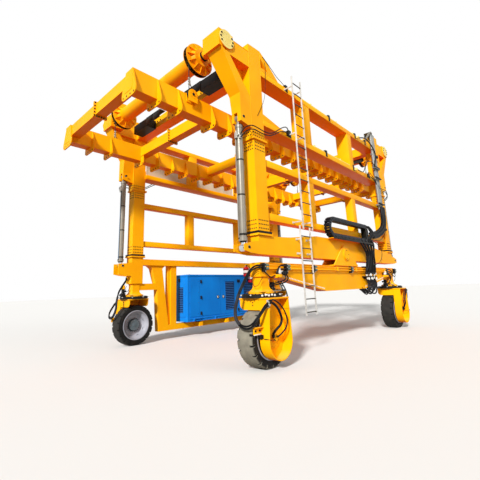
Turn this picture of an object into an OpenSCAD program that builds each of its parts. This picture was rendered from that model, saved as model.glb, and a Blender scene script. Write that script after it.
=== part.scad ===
// Rubber tyred gantry crane with telescopic legs, one equaliser side and one fixed side.
// Origin on the ground at the centre, X along the travel direction with the front at -X,
// the pivot side with the equaliser at -Y, the generator side at +Y. Millimetres.

/* [Overall] */
// Distance between front and rear leg axes
wheelbase = 7480; // [7000:20:9000]
// Distance between the leg axes of the two sides
track = 5320; // [5000:20:6500]

/* [Wheels] */
// Outer diameter of a tyre
tyre_d = 1200; // [1100:10:1260]
// Width of a tyre
tyre_w = 420; // [340:10:460]
// Diameter of the rim under the tyre
rim_d = 880; // [780:10:940]
// Rounding of the tyre's shoulder
shoulder_r = 45; // [20:5:70]
// Thickness of the rim's drum and disc
rim_wall = 22; // [14:1:34]
// Diameter of the hub cover
hub_d = 360; // [280:10:440]
// Distance between the tyre's side and the fork's arm
arm_gap = 15; // [10:1:40]

/* [Forks] */
// Depth of the hollow arm across the machine
arm_depth = 240; // [180:10:300]
// Width of the arm at its top
arm_top_w = 650; // [560:10:760]
// Radius of the arm's round end
arm_end_r = 380; // [330:10:420]
// Height of the round end's centre above the ground
arm_end_z = 560; // [520:10:620]
// Plate thickness of the forks
fork_plate = 20; // [12:1:30]
// Free height between the tyre and the crown's top plate
crown_clear = 160; // [120:10:220]
// Thickness of the crown's top plate
crown_top_t = 30; // [20:2:40]
// Height of the crown's front and rear plates
crown_side_h = 210; // [150:10:230]
// Distance from the leg axis to the inner end of the crown
crown_inner = 330; // [280:10:400]
// Corner radius of the crown's plates
crown_corner_r = 120; // [60:10:140]
// Radius of the wheel motor's round seat
motor_r = 215; // [160:5:260]
// Thickness of the wheel motor's seat on the pocket's floor
motor_seat_t = 22; // [12:2:40]
// Diameter of the wheel motor's port, where the hoses enter
motor_port_d = 150; // [100:10:180]
// Length of the wheel motor's port
motor_port_l = 70; // [40:5:120]

/* [Slew rings and pedestals] */
// Diameter of a slew ring
ring_d = 860; // [700:10:900]
// Height of a slew ring
ring_h = 76; // [50:2:100]
// Running gap of turning faces
run_gap = 0.3; // [0.2:0.1:1]
// Width of a pedestal at its waist
waist_w = 250; // [200:10:300]
// Radial width of a slew ring
ring_section = 180; // [160:5:220]
// Distance of a steering gear from the leg axis
steer_off = 375; // [370:5:390]
// Diameter of a steering gear
steer_gear_d = 150; // [100:5:160]
// Height of a steering gear
steer_gear_h = 110; // [80:5:140]
// Diameter of a steering motor
steer_motor_d = 105; // [80:5:130]
// Height of a steering motor
steer_motor_h = 130; // [90:5:150]
// Flare radius at a pedestal's foot
flare_r = 125; // [80:5:150]
// Diameter of a pedestal's foot flange
foot_d = 560; // [500:10:640]
// Thickness of a pedestal's foot flange
foot_t = 40; // [25:5:60]

/* [Equaliser] */
// Top of the equaliser above the ground
eq_top_z = 2120; // [2100:10:2140]
// Depth of the equaliser at its ends
eq_end_h = 300; // [260:10:340]
// Depth of the equaliser at mid span
eq_mid_h = 680; // [560:10:720]
// Length of the deep middle part
eq_mid_l = 2440; // [2000:20:3000]
// Width of the equaliser's web box
eq_w = 270; // [220:10:290]
// Flange overhang on each side
eq_lip = 20; // [10:5:30]
// Thickness of the equaliser's flanges
eq_flange_t = 20; // [12:2:30]
// Diameter of the pivot pin
pivot_pin_d = 160; // [120:5:200]
// Height of the pivot pin above the ground
pivot_z = 2456; // [2430:2:2480]
// Thickness of the pivot bracket's cheeks
cheek_t = 40; // [25:5:60]

/* [Sills] */
// Underside of the pivot side sill
sill_bottom_z = 2285; // [2280:1:2300]
// Depth of the sill at the legs
sill_end_h = 415; // [400:5:450]
// Depth of the sill's raised middle
sill_mid_h = 590; // [500:10:640]
// Length of the sill's raised middle
sill_hump_l = 3060; // [2600:20:3400]
// Underside of the generator side sill
girder_bottom_z = 2450; // [2400:10:2500]
// Depth of the generator side sill
girder_h = 200; // [160:10:240]

/* [Legs] */
// Leg size along the travel direction
leg_x = 400; // [360:10:440]
// Leg size across the machine
leg_y = 330; // [300:10:360]
// Wall of the outer sleeves
sleeve_wall = 12; // [8:1:16]
// Free space between the post and the sleeve's wall
post_clear = 20; // [12:1:24]
// Wall of the inner posts
post_wall = 14; // [8:1:20]
// Height of the rubber wiper frame under a sleeve
wiper_h = 55; // [30:5:80]
// Thickness of a post's base flange
base_flange_t = 40; // [25:5:50]
// Top of the sleeves above the ground
sleeve_top_z = 4950; // [4800:10:5050]
// Thickness of each leg flange
leg_flange_t = 25; // [16:1:40]
// Overhang of each leg flange
leg_flange_lip = 45; // [30:5:60]
// Top of the inner posts above the ground
post_top_z = 6900; // [6500:10:6950]

/* [Jacks] */
// Distance of the jack from the leg axis
jack_off = 505; // [480:5:540]
// Outer diameter of the jack's barrel
barrel_d = 160; // [130:5:190]
// Diameter of the jack's rod
rod_d = 95; // [80:5:110]
// Length of the jack's rod
rod_l = 2600; // [2400:20:2700]
// Diameter of the jack's eyes
eye_d = 150; // [120:5:170]
// Reach of the jack ears under the lower pin
ear_below = 320; // [280:10:340]
// Reach of the jack ears over the lower pin
ear_above = 140; // [120:10:200]
// Distance of the control boxes from the leg axis
box_off = 1300; // [1000:10:1500]
// Distance of the front valve block from the leg axis
valve_off = 500; // [400:10:700]
// Height of the valve blocks' underside
valve_z = 1850; // [1845:5:1870]
// Height of the lower jack pin
jack_low_z = 2420; // [2400:5:2450]
// Height of the upper jack pin
jack_high_z = 5376; // [5340:2:5400]
// Diameter of the jack pins
jack_pin_d = 70; // [50:5:90]
// Width of the jack's eyes
eye_w = 110; // [80:5:140]
// Thickness of the jack brackets' cheeks
ear_t = 30; // [20:2:40]

/* [Side frames] */
// Top of the top chord
top_chord_z = 6900; // [6800:10:6950]
// Depth of the top chord
top_chord_h = 550; // [450:10:600]
// Top of the second chord
second_chord_z = 5550; // [5500:10:5650]
// Depth of the second chord
second_chord_h = 150; // [120:10:200]
// Width of the second chord
second_chord_w = 430; // [350:10:480]
// Top of the third chord
third_chord_z = 4550; // [4400:10:4650]
// Top of the fourth chord
fourth_chord_z = 3250; // [3150:10:3400]
// Depth of the third and fourth chords
low_chord_h = 170; // [140:10:220]
// Width of the third and fourth chords
low_chord_w = 250; // [200:10:300]
// Height of the boards inside the generator side frame
board_h = 530; // [300:10:700]
// Thickness of the boards
board_t = 15; // [8:1:25]
// Place of the front posts along the frame
front_post_x = -1500; // [-2000:10:-1000]
// Place of the rear posts along the frame
rear_post_x = 1150; // [800:10:1800]
// Length of the upper posts along the frame
post_x = 330; // [250:10:400]
// Setback of the upper posts from the chords' outer faces
post_setback = 125; // [100:5:160]
// Length of the lower posts along the frame
low_post_x = 260; // [200:10:320]

/* [Heads] */
// Distance of the hoist axis from the leg axis
head_off = 1000; // [900:10:1100]
// Height of the hoist axis
head_z = 7080; // [7060:2:7100]
// Size of the head block along and up
head_size = 430; // [380:10:460]
// Inward reach of the head block from the leg axis
head_inner = 390; // [330:10:450]
// Radius of the round end plate
end_plate_r = 230; // [200:5:260]
// Thickness of the round end plate
end_plate_t = 30; // [16:2:40]
// Forward growth of the upper column over the leg
column_nose = 40; // [40:5:90]
// Reach of the strut's foot in front of the leg axis
strut_foot_x = 600; // [570:10:640]
// Lower end of the strut's foot
strut_low_z = 5250; // [5200:10:5280]
// Height where the strut leaves its foot
strut_knee_z = 5950; // [5800:10:6100]
// Thickness of the web between strut and column
web_t = 20; // [12:1:30]
// Depth of the pockets in the knee's sides
knee_pocket = 120; // [60:5:140]
// Length of the haunch on the second chord
haunch_l = 725; // [500:5:900]
// Height of the haunch on the second chord
haunch_h = 150; // [80:5:200]
// Height of the upper columns over the top chord
column_rise = 550; // [450:10:600]
// Underside of the head's top beam
head_beam_z = 6770; // [6700:10:6800]
// Depth of the head's top beam
head_beam_h = 430; // [380:10:450]
// Width of the strut at its top
strut_top_w = 457; // [400:5:500]
// Width of the strut at its foot
strut_foot_w = 280; // [240:5:320]

/* [Cross beams] */
// Underside of the cross beams
cross_z = 6770; // [6700:10:6800]
// Depth of the cross beams
cross_h = 340; // [300:10:400]
// Width of the cross beams
cross_w = 340; // [300:10:380]
// Length of a control box
box_l = 800; // [600:10:900]
// Depth of a control box along the travel direction
box_d = 330; // [250:10:380]
// Height of a control box
box_h = 280; // [200:10:340]
// How far the control boxes reach below the cross beams
box_drop = 40; // [0:10:80]

/* [Hoist] */
// Diameter of the drum flanges
drum_flange_d = 800; // [720:10:840]
// Diameter of the drum where the rope lies
drum_core_d = 540; // [480:10:600]
// Width of the groove between the drum's flanges
drum_gap = 100; // [80:5:140]
// Width of one ribbed drum half
drum_half_w = 110; // [90:5:130]
// Distance of the drums from the machine's centre plane
drum_y = 1840; // [1840:10:1860]
// Diameter of the torque tube
tube_d = 430; // [360:10:480]
// Diameter of the hoist shaft
shaft_d = 140; // [100:5:160]
// Thickness of a drum flange
drum_flange_t = 16; // [10:1:24]
// Number of ribs on a drum
rib_n = 12; // [8:1:16]
// Thickness of a drum rib
rib_t = 14; // [8:1:20]
// Diameter of a hoist rope
rope_d = 20; // [16:1:26]

/* [Lifting frame] */
// Length of the lifting frame
lift_l = 12840; // [12000:20:13400]
// Width over the lifting frame's beams
lift_w = 3580; // [3400:10:3600]
// Width of a lifting beam
lift_beam_w = 280; // [220:10:320]
// Underside of the lifting beams
lift_beam_z = 5600; // [5560:10:5640]
// Depth of a lifting beam
lift_beam_h = 480; // [400:10:500]
// Width of a cross bar
bar_w = 240; // [180:10:300]
// Depth of a cross bar
bar_h = 300; // [240:10:340]
// Distance of the inner cross bars from the middle
inner_bar_x = 1420; // [1000:10:2000]
// Distance of the outer cross bars from the middle
outer_bar_x = 4180; // [3600:10:4600]
// Overhang of the bolted flanges in the middle of the bars
bar_flange_lip = 45; // [30:5:60]
// Thickness of the bolted flanges in the middle of the bars
bar_flange_t = 24; // [16:2:32]
// Radius of the rope anchors' cheeks
anchor_cheek_r = 130; // [110:5:150]
// Spacing of the hanger plates
hanger_pitch = 570; // [500:10:620]
// Hanger plates on each half of a beam
hanger_n = 8; // [4:1:8]
// Width of a hanger plate's foot
hanger_w = 560; // [480:10:620]
// Depth of a hanger plate under the beam
hanger_drop = 150; // [120:5:180]
// Corner radius of a hanger plate
hanger_r = 100; // [60:5:120]
// Height of the holes over a hanger plate's foot
hanger_hole_h = 60; // [50:5:70]
// Thickness of a hanger plate
hanger_t = 25; // [16:1:40]
// Diameter of the holes in the hanger plates
hanger_hole_d = 36; // [24:1:44]
// Spacing of the holes in the hanger plates
hanger_hole_pitch = 140; // [120:5:150]

/* [Ladder] */
// Width over the upper ladder's stiles
ladder_w = 430; // [380:10:480]
// Width over the lower ladder's stiles
low_ladder_w = 500; // [490:10:560]
// Thickness of the ladder's stiles
stile_t = 28; // [20:2:34]
// Width of the ladder's stiles
stile_w = 60; // [50:2:70]
// Diameter of the rungs
rung_d = 30; // [24:2:36]
// Spacing of the rungs
rung_pitch = 300; // [250:10:350]
// Lower end of the ladder
ladder_low_z = 910; // [700:10:1100]
// Height of the ladder's top over the top chord
ladder_rise = 210; // [150:10:400]
// Distance of the ladder from the front leg
ladder_off = 1390; // [1000:10:1450]
// Length over which the two ladder sections overlap
ladder_lap = 2000; // [1000:50:2200]
// Height of the lower ladder's top over the sleeves
ladder_over = 250; // [100:10:400]
// Distance of the lower ladder from the side frame
low_ladder_gap = 125; // [110:5:150]
// Distance of the upper ladder from the side frame
ladder_gap = 275; // [240:5:300]

/* [Generator set] */
// Length of the generator set
genset_l = 3860; // [3000:20:3900]
// Width of the generator set
genset_w = 900; // [700:10:900]
// Height of the generator set
genset_h = 1620; // [1400:10:1650]
// Inner face of the generator set from the centre plane
genset_y = 2220; // [2200:10:2300]
// Underside of the generator set
genset_z = 520; // [500:10:560]

// Height of the generator set's plinth
plinth_h = 130; // [90:10:180]
// Distance from the doors' top seam to the top of the housing
door_drop = 145; // [100:5:180]
// Width of the seams between the doors
door_seam = 12; // [8:1:20]
// How far the doors stand proud
door_t = 12; // [6:1:20]
// Height of the rubber mounts under the generator set
mount_h = 40; // [25:5:60]
// Diameter of an extinguisher
extinguisher_d = 240; // [200:5:250]
// Height of an extinguisher with its valve
extinguisher_h = 440; // [380:10:500]
// Depth of the clip that holds an extinguisher
clip_t = 20; // [15:5:30]
// Depth of the cradle's skid beam
skid_h = 180; // [140:10:200]
// Width of the cradle's members
skid_w = 220; // [160:10:260]

/* [Energy chain and pipes] */
// Underside of the energy chain
chain_z = 2875; // [2860:5:2900]
// Thickness of a chain run
chain_h = 125; // [100:5:200]
// Outer radius of the chain's bend
chain_r = 300; // [260:5:360]
// Width of the chain
chain_w = 170; // [120:10:200]
// Free space between the side frame and the chain
chain_clear = 60; // [40:5:80]
// Centre of the chain's bend along the machine
chain_bend_x = -820; // [-1000:10:-700]
// Rear end of the chain along the machine
chain_end_x = 1720; // [1600:10:1800]
// Thickness of the tray under the chain
tray_t = 15; // [8:1:20]
// Diameter of the conduits on the rear leg
conduit_d = 90; // [60:5:100]
// Spacing of the conduits
conduit_pitch = 115; // [105:5:130]
// Lower end of the conduits
conduit_low_z = 4330; // [4200:10:4350]
// Upper end of the conduits
conduit_high_z = 7330; // [7000:10:7380]
// Diameter of the pipes along the frame
pipe_d = 42; // [26:2:50]
// Spacing of the pipes along the frame
pipe_pitch = 58; // [52:2:60]
// Diameter of the pipes along the equaliser
eq_pipe_d = 34; // [26:2:40]
// Spacing of the pipes along the equaliser
eq_pipe_pitch = 70; // [50:5:75]

/* [Hoses] */
// Diameter of the hose on the side frame
column_hose_d = 44; // [30:2:50]
// Diameter of the cable looped over the second chord
loop_cable_d = 28; // [20:2:32]
// How far a hose clip stands off the side frame
clip_off = 105; // [95:5:120]
// Width of a hose clip
clip_w = 60; // [50:5:80]

/* [Hidden] */
$fn = 48;

// Directions: front and rear ends, pivot and generator sides
front = -1;
rear = 1;
pivot_side = -1;
genset_side = 1;
ends = [front, rear];
sides = [pivot_side, genset_side];
paint = "orange";
through = 2; // how far a cutter runs past the face it opens

// Places that follow from the sizes above
leg_at_x = wheelbase / 2;
leg_at_y = track / 2;
crown_top_z = tyre_d + crown_clear + crown_top_t;
ring_z = crown_top_z + run_gap;
foot_z = ring_z + ring_h;
arm_y = tyre_w / 2 + arm_gap;
eq_end_z = eq_top_z - eq_end_h;
sill_top_z = sill_bottom_z + sill_end_h;
sleeve_z = sill_top_z + base_flange_t + wiper_h;
post_x_out = leg_x - 2 * sleeve_wall - 2 * post_clear;
post_y_out = leg_y - 2 * sleeve_wall - 2 * post_clear;
base_x = leg_x + 2 * leg_flange_lip;
base_y = leg_y + 2 * leg_flange_lip;
stub_z = 1860;
chord_l = wheelbase - leg_x;
lift_top_z = lift_beam_z + lift_beam_h;
lift_beam_y = lift_w / 2 - lift_beam_w / 2;
rope_off = drum_core_d / 2 + rope_d / 2;
anchor_r = 90;
anchor_z = lift_top_z - 20;
bracket_l = 250;

mount_places = [-1300, 0, 1300];
// Edges of the generator set's doors, from the front
door_edges = [100 - genset_l / 2, -1380, -350, 660, genset_l / 2 - 100];
// Places of the extinguishers and how far their feet lie under the housing's top
extinguisher_x = [1010, 1290];
extinguisher_drop = [70, 320];
column_top_z = top_chord_z + column_rise;
ladder_high_z = top_chord_z + ladder_rise;
ladder_x = ladder_off - leg_at_x;
low_ladder_top_z = sleeve_top_z + ladder_over;
anchor_x = leg_at_x + head_off + rope_off - anchor_r;
bar_places = [inner_bar_x, outer_bar_x, lift_l / 2 - hanger_t - bar_w / 2];
chain_y = leg_at_y + low_chord_w / 2 + chain_clear;

// Rear faces of the two clips from which the hoses set out, and their heights
column_hose_x = 1980;
column_hose_z = 6850;
loop_cable_x = 1480;
loop_cable_z = 5480;
// Bracket in front of the conduits where both hoses end
hose_bracket_z = 5905;
hose_bracket_t = 45;
hose_bracket_x = 2990;
hose_bracket_y = -2980;

// Routes of the two hoses
column_hose_route = [[column_hose_x, -2900, column_hose_z], [2060, -2900, 6850], [2210, -2925, 6890],
    [2390, -2945, 6920], [2580, -2950, 6920], [2770, -2950, 6885], [2950, -2950, 6820],
    [3110, -2950, 6740], [3230, -2950, 6640], [3290, -2950, 6530], [3290, -2950, 6410],
    [3240, -2950, 6300], [3170, -2950, 6200], [3115, -2950, 6100], [3090, -2950, 6010],
    [3090, -2950, hose_bracket_z + hose_bracket_t]];
loop_cable_route = [[loop_cable_x, -2900, loop_cable_z], [1560, -2900, 5480], [1700, -2915, 5460],
    [1850, -2925, 5460], [1970, -2930, 5510], [2060, -2935, 5610], [2130, -2940, 5730],
    [2210, -2945, 5850], [2320, -2950, 5950], [2460, -2950, 6020], [2610, -2950, 6060],
    [2760, -2950, 6075], [2890, -2950, 6060], [2985, -2950, 6020], [3025, -2950, 5985],
    [3025, -2950, hose_bracket_z + hose_bracket_t]];

function arc(cx, cy, r, a0, a1, n) =
    [for (i = [0:n]) let (a = a0 + (a1 - a0) * i / n) [cx + r * cos(a), cy + r * sin(a)]];

// Puts a piece drawn for the pivot side on either side of the machine
module at_side(s) {
    if (s == genset_side) mirror([0, 1, 0]) children();
    else children();
}

// Puts a piece drawn for the front pivot side leg, with the leg axis as origin, at any leg
module at_leg(e, s) {
    at_side(s)
        if (e == rear) mirror([1, 0, 0]) translate([-leg_at_x, -leg_at_y, 0]) children();
        else translate([-leg_at_x, -leg_at_y, 0]) children();
}

// Block given by its x, y and z spans
module span(x, y, z) {
    translate([x[0], y[0], z[0]]) cube([x[1] - x[0], y[1] - y[0], z[1] - z[0]]);
}

// Flat outline in the XZ plane, extruded from y0 to y1
module slab_xz(points, y0, y1) {
    translate([0, y1, 0]) rotate([90, 0, 0]) linear_extrude(y1 - y0) polygon(points);
}

// Flat outline in the YZ plane, extruded from x0 to x1
module slab_yz(points, x0, x1) {
    translate([x0, 0, 0]) rotate([90, 0, 90]) linear_extrude(x1 - x0) polygon(points);
}

// Round bar along Y
module bar_y(d, y0, y1) {
    translate([0, y1, 0]) rotate([90, 0, 0]) cylinder(d = d, h = y1 - y0);
}

// Wheels

module tyre(e, s) {
    r = tyre_d / 2;
    w = tyre_w / 2;
    outline = concat(
        [[rim_d / 2 + 0.2, -w + 20], [rim_d / 2 + 30, -w]],
        arc(r - shoulder_r, -w + shoulder_r, shoulder_r, -90, 0, 4),
        arc(r - shoulder_r, w - shoulder_r, shoulder_r, 0, 90, 4),
        [[rim_d / 2 + 30, w], [rim_d / 2 + 0.2, w - 20]]);
    color("dimgray") at_leg(e, s) translate([0, 0, r])
        rotate([90, 0, 0]) rotate_extrude() polygon(outline);
}

module rim(e, s) {
    r = rim_d / 2;
    w = tyre_w / 2;
    disc_y = w / 3;
    hub_out = w + arm_gap - run_gap;
    color("silver") at_leg(e, s) translate([0, 0, tyre_d / 2]) rotate([90, 0, 0])
        rotate_extrude() {
            translate([r - rim_wall, -w]) square([rim_wall, 2 * w]);
            translate([0, disc_y]) square([r - rim_wall / 2, rim_wall]);
            translate([0, disc_y - w]) square([hub_d / 2, w + hub_out - disc_y]);
        }
}

// Forks

function arm_outline(inset) = concat(
    [[arm_top_w / 2 - inset, crown_top_z - crown_top_t],
     [inset - arm_top_w / 2, crown_top_z - crown_top_t]],
    arc(0, arm_end_z, arm_end_r - inset, 175, 365, 24));

function crown_outline() = concat(
    [[-arm_y - arm_depth, crown_top_z - crown_top_t],
     [-arm_y - arm_depth, crown_top_z - crown_top_t - crown_side_h]],
    arc(crown_inner - crown_corner_r, crown_top_z - crown_top_t - crown_side_h
        + crown_corner_r, crown_corner_r, -90, 0, 8),
    [[crown_inner, crown_top_z - crown_top_t]]);

module fork(e, s) {
    out = -arm_y - arm_depth;
    half = arm_top_w / 2;
    color(paint) at_leg(e, s) {
        difference() {
            slab_xz(arm_outline(0), out, -arm_y);
            slab_xz(arm_outline(fork_plate), out - through, -arm_y - fork_plate);
        }
        translate([0, 0, tyre_d / 2]) {
            bar_y(2 * motor_r, -arm_y - fork_plate - motor_seat_t, -arm_y);
            bar_y(motor_port_d, -arm_y - fork_plate - motor_port_l, -arm_y);
        }
        for (m = [0, 1]) mirror([m, 0, 0])
            slab_yz(crown_outline(), -half, fork_plate - half);
        span([-half - 15, half + 15], [out, crown_inner + 10],
            [crown_top_z - crown_top_t, crown_top_z]);
    }
}

// Pedestals with their slew rings

module flared_profile(h) {
    half = waist_w / 2;
    difference() {
        union() {
            translate([-half, 0]) square([2 * half, h]);
            translate([-half - flare_r, 0]) square([2 * (half + flare_r), flare_r]);
        }
        for (x = [-half - flare_r, half + flare_r]) translate([x, flare_r]) circle(flare_r);
    }
}

module pedestal(top_z) {
    column_z = foot_z + foot_t;
    wide = waist_w + 2 * flare_r;
    translate([0, 0, foot_z]) cylinder(d = foot_d, h = foot_t);
    intersection() {
        translate([0, wide / 2, column_z]) rotate([90, 0, 0])
            linear_extrude(wide) flared_profile(top_z - column_z);
        translate([-wide / 2, 0, column_z]) rotate([90, 0, 90])
            linear_extrude(wide) flared_profile(top_z - column_z);
    }
}

// Ball ring with the seam between its fixed and its turning half
module slew_rings(s) {
    r = ring_d / 2;
    bore = r - ring_section;
    seam = 8;
    color("dimgray") for (e = ends) at_leg(e, s) translate([0, 0, ring_z])
        rotate_extrude() polygon([[bore, 0], [r, 0], [r, ring_h / 2 - seam],
            [r - seam, ring_h / 2 - seam], [r - seam, ring_h / 2 + seam],
            [r, ring_h / 2 + seam], [r, ring_h], [bore, ring_h]]);
}

// Worm gear and motor that turn a fork, beside the pedestal on the side given
module steering_drives(s, way) {
    place = [way * steer_off, 0, foot_z];
    color("darkslategray") for (e = ends) at_leg(e, s) translate(place) {
        cylinder(d = steer_gear_d, h = steer_gear_h);
        translate([0, 0, steer_gear_h]) cylinder(d = steer_motor_d, h = steer_motor_h);
        translate([0, 0, steer_gear_h + steer_motor_h]) cylinder(d = 0.7 * steer_motor_d, h = 30);
        translate([-45, 0, steer_gear_h / 2]) rotate([90, 0, 0])
            cylinder(d = 0.8 * steer_gear_h, h = steer_gear_d, center = true);
        translate([-60, steer_motor_d / 2 - 20, steer_gear_h + 30]) cube([120, 60, 55]);
    }
}

module pivot_side_pedestals() {
    color(paint) for (e = ends) at_leg(e, pivot_side) pedestal(eq_end_z);
}

module genset_side_pedestals() {
    color(paint) for (e = ends) at_leg(e, genset_side) pedestal(stub_z);
}

// Equaliser with its fish bellied underside

function belly(drop) = [
    [-leg_at_x - 170, eq_end_z + drop], [-leg_at_x + 340, eq_end_z + drop],
    [-eq_mid_l / 2, eq_top_z - eq_mid_h + drop], [eq_mid_l / 2, eq_top_z - eq_mid_h + drop],
    [leg_at_x - 340, eq_end_z + drop], [leg_at_x + 170, eq_end_z + drop]];

module equaliser_beam() {
    top = [[leg_at_x + 170, eq_top_z], [-leg_at_x - 170, eq_top_z]];
    wide = eq_w / 2 + eq_lip;
    color(paint) translate([0, -leg_at_y, 0]) {
        slab_xz(concat(belly(0), top), -eq_w / 2, eq_w / 2);
        slab_xz(concat(belly(0), [for (i = [5:-1:0]) belly(eq_flange_t)[i]]), -wide, wide);
        span([-leg_at_x - 170, leg_at_x + 170], [-wide, wide],
            [eq_top_z - eq_flange_t, eq_top_z]);
    }
}

module pivot_bracket() {
    gap = 5;
    base_t = 25;
    inner = leg_y / 2 + gap;
    outer = inner + cheek_t;
    base_l = 740;
    cheek = concat([[-base_l, eq_top_z + base_t], [base_l, eq_top_z + base_t]],
        arc(0, pivot_z, 270, 40, 140, 10));
    color(paint) translate([0, -leg_at_y, 0]) {
        span([-base_l, base_l], [-outer, outer], [eq_top_z, eq_top_z + base_t]);
        for (m = [0, 1]) mirror([0, m, 0]) {
            slab_xz(cheek, inner, outer);
            translate([0, 0, pivot_z]) bar_y(2.1 * pivot_pin_d, outer, outer + 25);
        }
        translate([0, 0, pivot_z]) bar_y(pivot_pin_d, -outer, outer);
    }
}

// Sills

module jack_ears(low_z, high_z) {
    half = leg_y / 2;
    ear = [[1 - leg_x / 2, low_z], [-leg_x / 2 - bracket_l, low_z + 20],
        [-jack_off - 140, low_z + 60], [-jack_off - 140, jack_low_z + 60],
        [-leg_x / 2 - bracket_l + 60, high_z - 60], [1 - leg_x / 2, high_z - 30]];
    for (y = [-half, half - ear_t]) difference() {
        slab_xz(ear, y, y + ear_t);
        translate([-jack_off, 0, jack_low_z])
            bar_y(jack_pin_d + 1, y - through, y + ear_t + through);
    }
    span([-leg_x / 2 - 60, 1 - leg_x / 2], [-half, half], [low_z, low_z + 60]);
}

module pivot_side_sill() {
    half = leg_at_x + leg_x / 2;
    mid = sill_bottom_z + sill_mid_h;
    flat = leg_x + 2 * leg_flange_lip;
    bend = 0.74 * leg_at_x;
    hump = sill_hump_l / 2;
    outline = [[-half, sill_bottom_z], [half, sill_bottom_z], [half, sill_top_z],
        [half - flat, sill_top_z], [bend, sill_top_z + 40], [hump, mid],
        [-hump, mid], [-bend, sill_top_z + 40], [flat - half, sill_top_z],
        [-half, sill_top_z]];
    color(paint) {
        difference() {
            translate([0, -leg_at_y, 0]) slab_xz(outline, -leg_y / 2, leg_y / 2);
            translate([0, -leg_at_y, pivot_z])
                bar_y(pivot_pin_d + 1, -leg_y / 2 - through, leg_y / 2 + through);
        }
        for (e = ends) at_leg(e, pivot_side) jack_ears(sill_bottom_z, 2600);
        span([chain_bend_x - 120, chain_end_x + 30],
            [-chain_y - chain_w - 12, 1 - leg_at_y - leg_y / 2], [chain_z - tray_t, chain_z]);
    }
}

module genset_side_sill() {
    half = leg_at_x - leg_x / 2;
    color(paint) span([-half, half], [leg_at_y - leg_y / 2, leg_at_y + leg_y / 2],
        [girder_bottom_z, girder_bottom_z + girder_h]);
}

module genset_side_leg_bases() {
    color(paint) for (e = ends) at_leg(e, genset_side) {
        span([-leg_x / 2, leg_x / 2], [-leg_y / 2, leg_y / 2], [stub_z, sill_top_z]);
        jack_ears(jack_low_z - ear_below, jack_low_z + ear_above);
        slab_xz([[waist_w / 2, stub_z - 210], [790, stub_z - 210], [727, stub_z],
            [leg_x / 2, stub_z], [leg_x / 2, stub_z + 40], [waist_w / 2, stub_z + 40]],
            -110, 110);
    }
}

// Cradle that hangs under the generator side sill and carries the generator set

module generator_cradle() {
    sill_z = girder_bottom_z;
    beam_top = genset_z - mount_h;
    beam_low = beam_top - skid_h;
    gusset = 100;
    strut = [[450, sill_z], [580, sill_z - gusset], [790, stub_z - 210],
        [870, beam_low], [1250, beam_low], [1250, beam_top], [980, sill_z - gusset],
        [1080, sill_z]];
    brace = [[1260, sill_z], [1400, sill_z], [1340, beam_top], [1250, beam_top]];
    color(paint) at_side(genset_side) {
        for (e = ends) at_leg(e, pivot_side) {
            slab_xz(strut, -skid_w / 2, skid_w / 2);
            slab_xz(brace, -skid_w / 2, 40);
            span([1340, 1570], [-skid_w / 2, skid_w / 2], [beam_top - 1, sill_z]);
        }
        translate([0, -leg_at_y, 0]) {
            span([1250 - leg_at_x, leg_at_x - 1250], [-skid_w / 2, skid_w / 2],
                [beam_low, beam_top]);
            for (x = mount_places) span([x - 70, x + 70],
                [leg_at_y - genset_y - genset_w + 20, leg_at_y - genset_y - 20],
                [beam_low + 40, beam_top]);
        }
    }
}

module generator_mounts() {
    color("black") at_side(genset_side)
        for (x = mount_places, y = [genset_y + 110, genset_y + genset_w - 110])
            translate([x, -y, genset_z - mount_h]) cylinder(d = 130, h = mount_h);
}

// Housing with plinth, doors on both long sides and a hatch at each end
module generator_set() {
    side = genset_l / 2;
    hood = genset_z + plinth_h;
    top = genset_z + genset_h;
    inner = genset_y;
    outer = genset_y + genset_w;
    color("royalblue") difference() {
        union() {
            span([-side + door_t, side - door_t], [inner + door_t, outer - door_t],
                [genset_z, top]);
            span([-side, side], [inner, outer], [genset_z, hood]);
            span([-side, side], [inner, outer], [top - 60, top]);
            for (i = [1:len(door_edges) - 1], y = [inner, outer - door_t - 1])
                span([door_edges[i - 1] + door_seam / 2, door_edges[i] - door_seam / 2],
                    [y, y + door_t + 1], [hood + 25, top - door_drop]);
            for (x = [-side, side - door_t - 1])
                span([x, x + door_t + 1], [inner + 120, outer - 120], [hood + 25, top - door_drop]);
        }
        for (x = [-side + 320, side - 720], y = [inner - through, outer - 60])
            span([x, x + 400], [y, y + 60 + through], [genset_z + 25, hood - 25]);
    }
}

// Two extinguishers held by clips on the housing, the front one higher
module fire_extinguishers() {
    off = extinguisher_d / 2 + clip_t;
    wall = extinguisher_h - 90;
    for (i = [0, 1])
        color("red") translate([extinguisher_x[i], genset_y, genset_z + genset_h - extinguisher_drop[i]]) {
            translate([0, -off, 0]) cylinder(d = extinguisher_d, h = wall);
            translate([0, -off, wall]) cylinder(d1 = extinguisher_d, d2 = 60, h = 50);
            translate([0, -off, wall + 50]) cylinder(d = 45, h = 40);
            translate([-30, -off, 10]) cube([60, off, 50]);
        }
}

// Telescopic legs

module leg_post(e, s) {
    at_leg(e, s) difference() {
        union() {
            span([-post_x_out / 2, post_x_out / 2], [-post_y_out / 2, post_y_out / 2],
                [sill_top_z, post_top_z]);
            span([-base_x / 2, base_x / 2], [-base_y / 2, base_y / 2],
                [sill_top_z, sill_top_z + base_flange_t]);
        }
        span([post_wall - post_x_out / 2, post_x_out / 2 - post_wall],
            [post_wall - post_y_out / 2, post_y_out / 2 - post_wall],
            [sill_top_z + base_flange_t, post_top_z + through]);
    }
}

module pivot_side_leg_posts() {
    color(paint) for (e = ends) leg_post(e, pivot_side);
}

module genset_side_leg_posts() {
    color(paint) for (e = ends) leg_post(e, genset_side);
}

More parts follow.
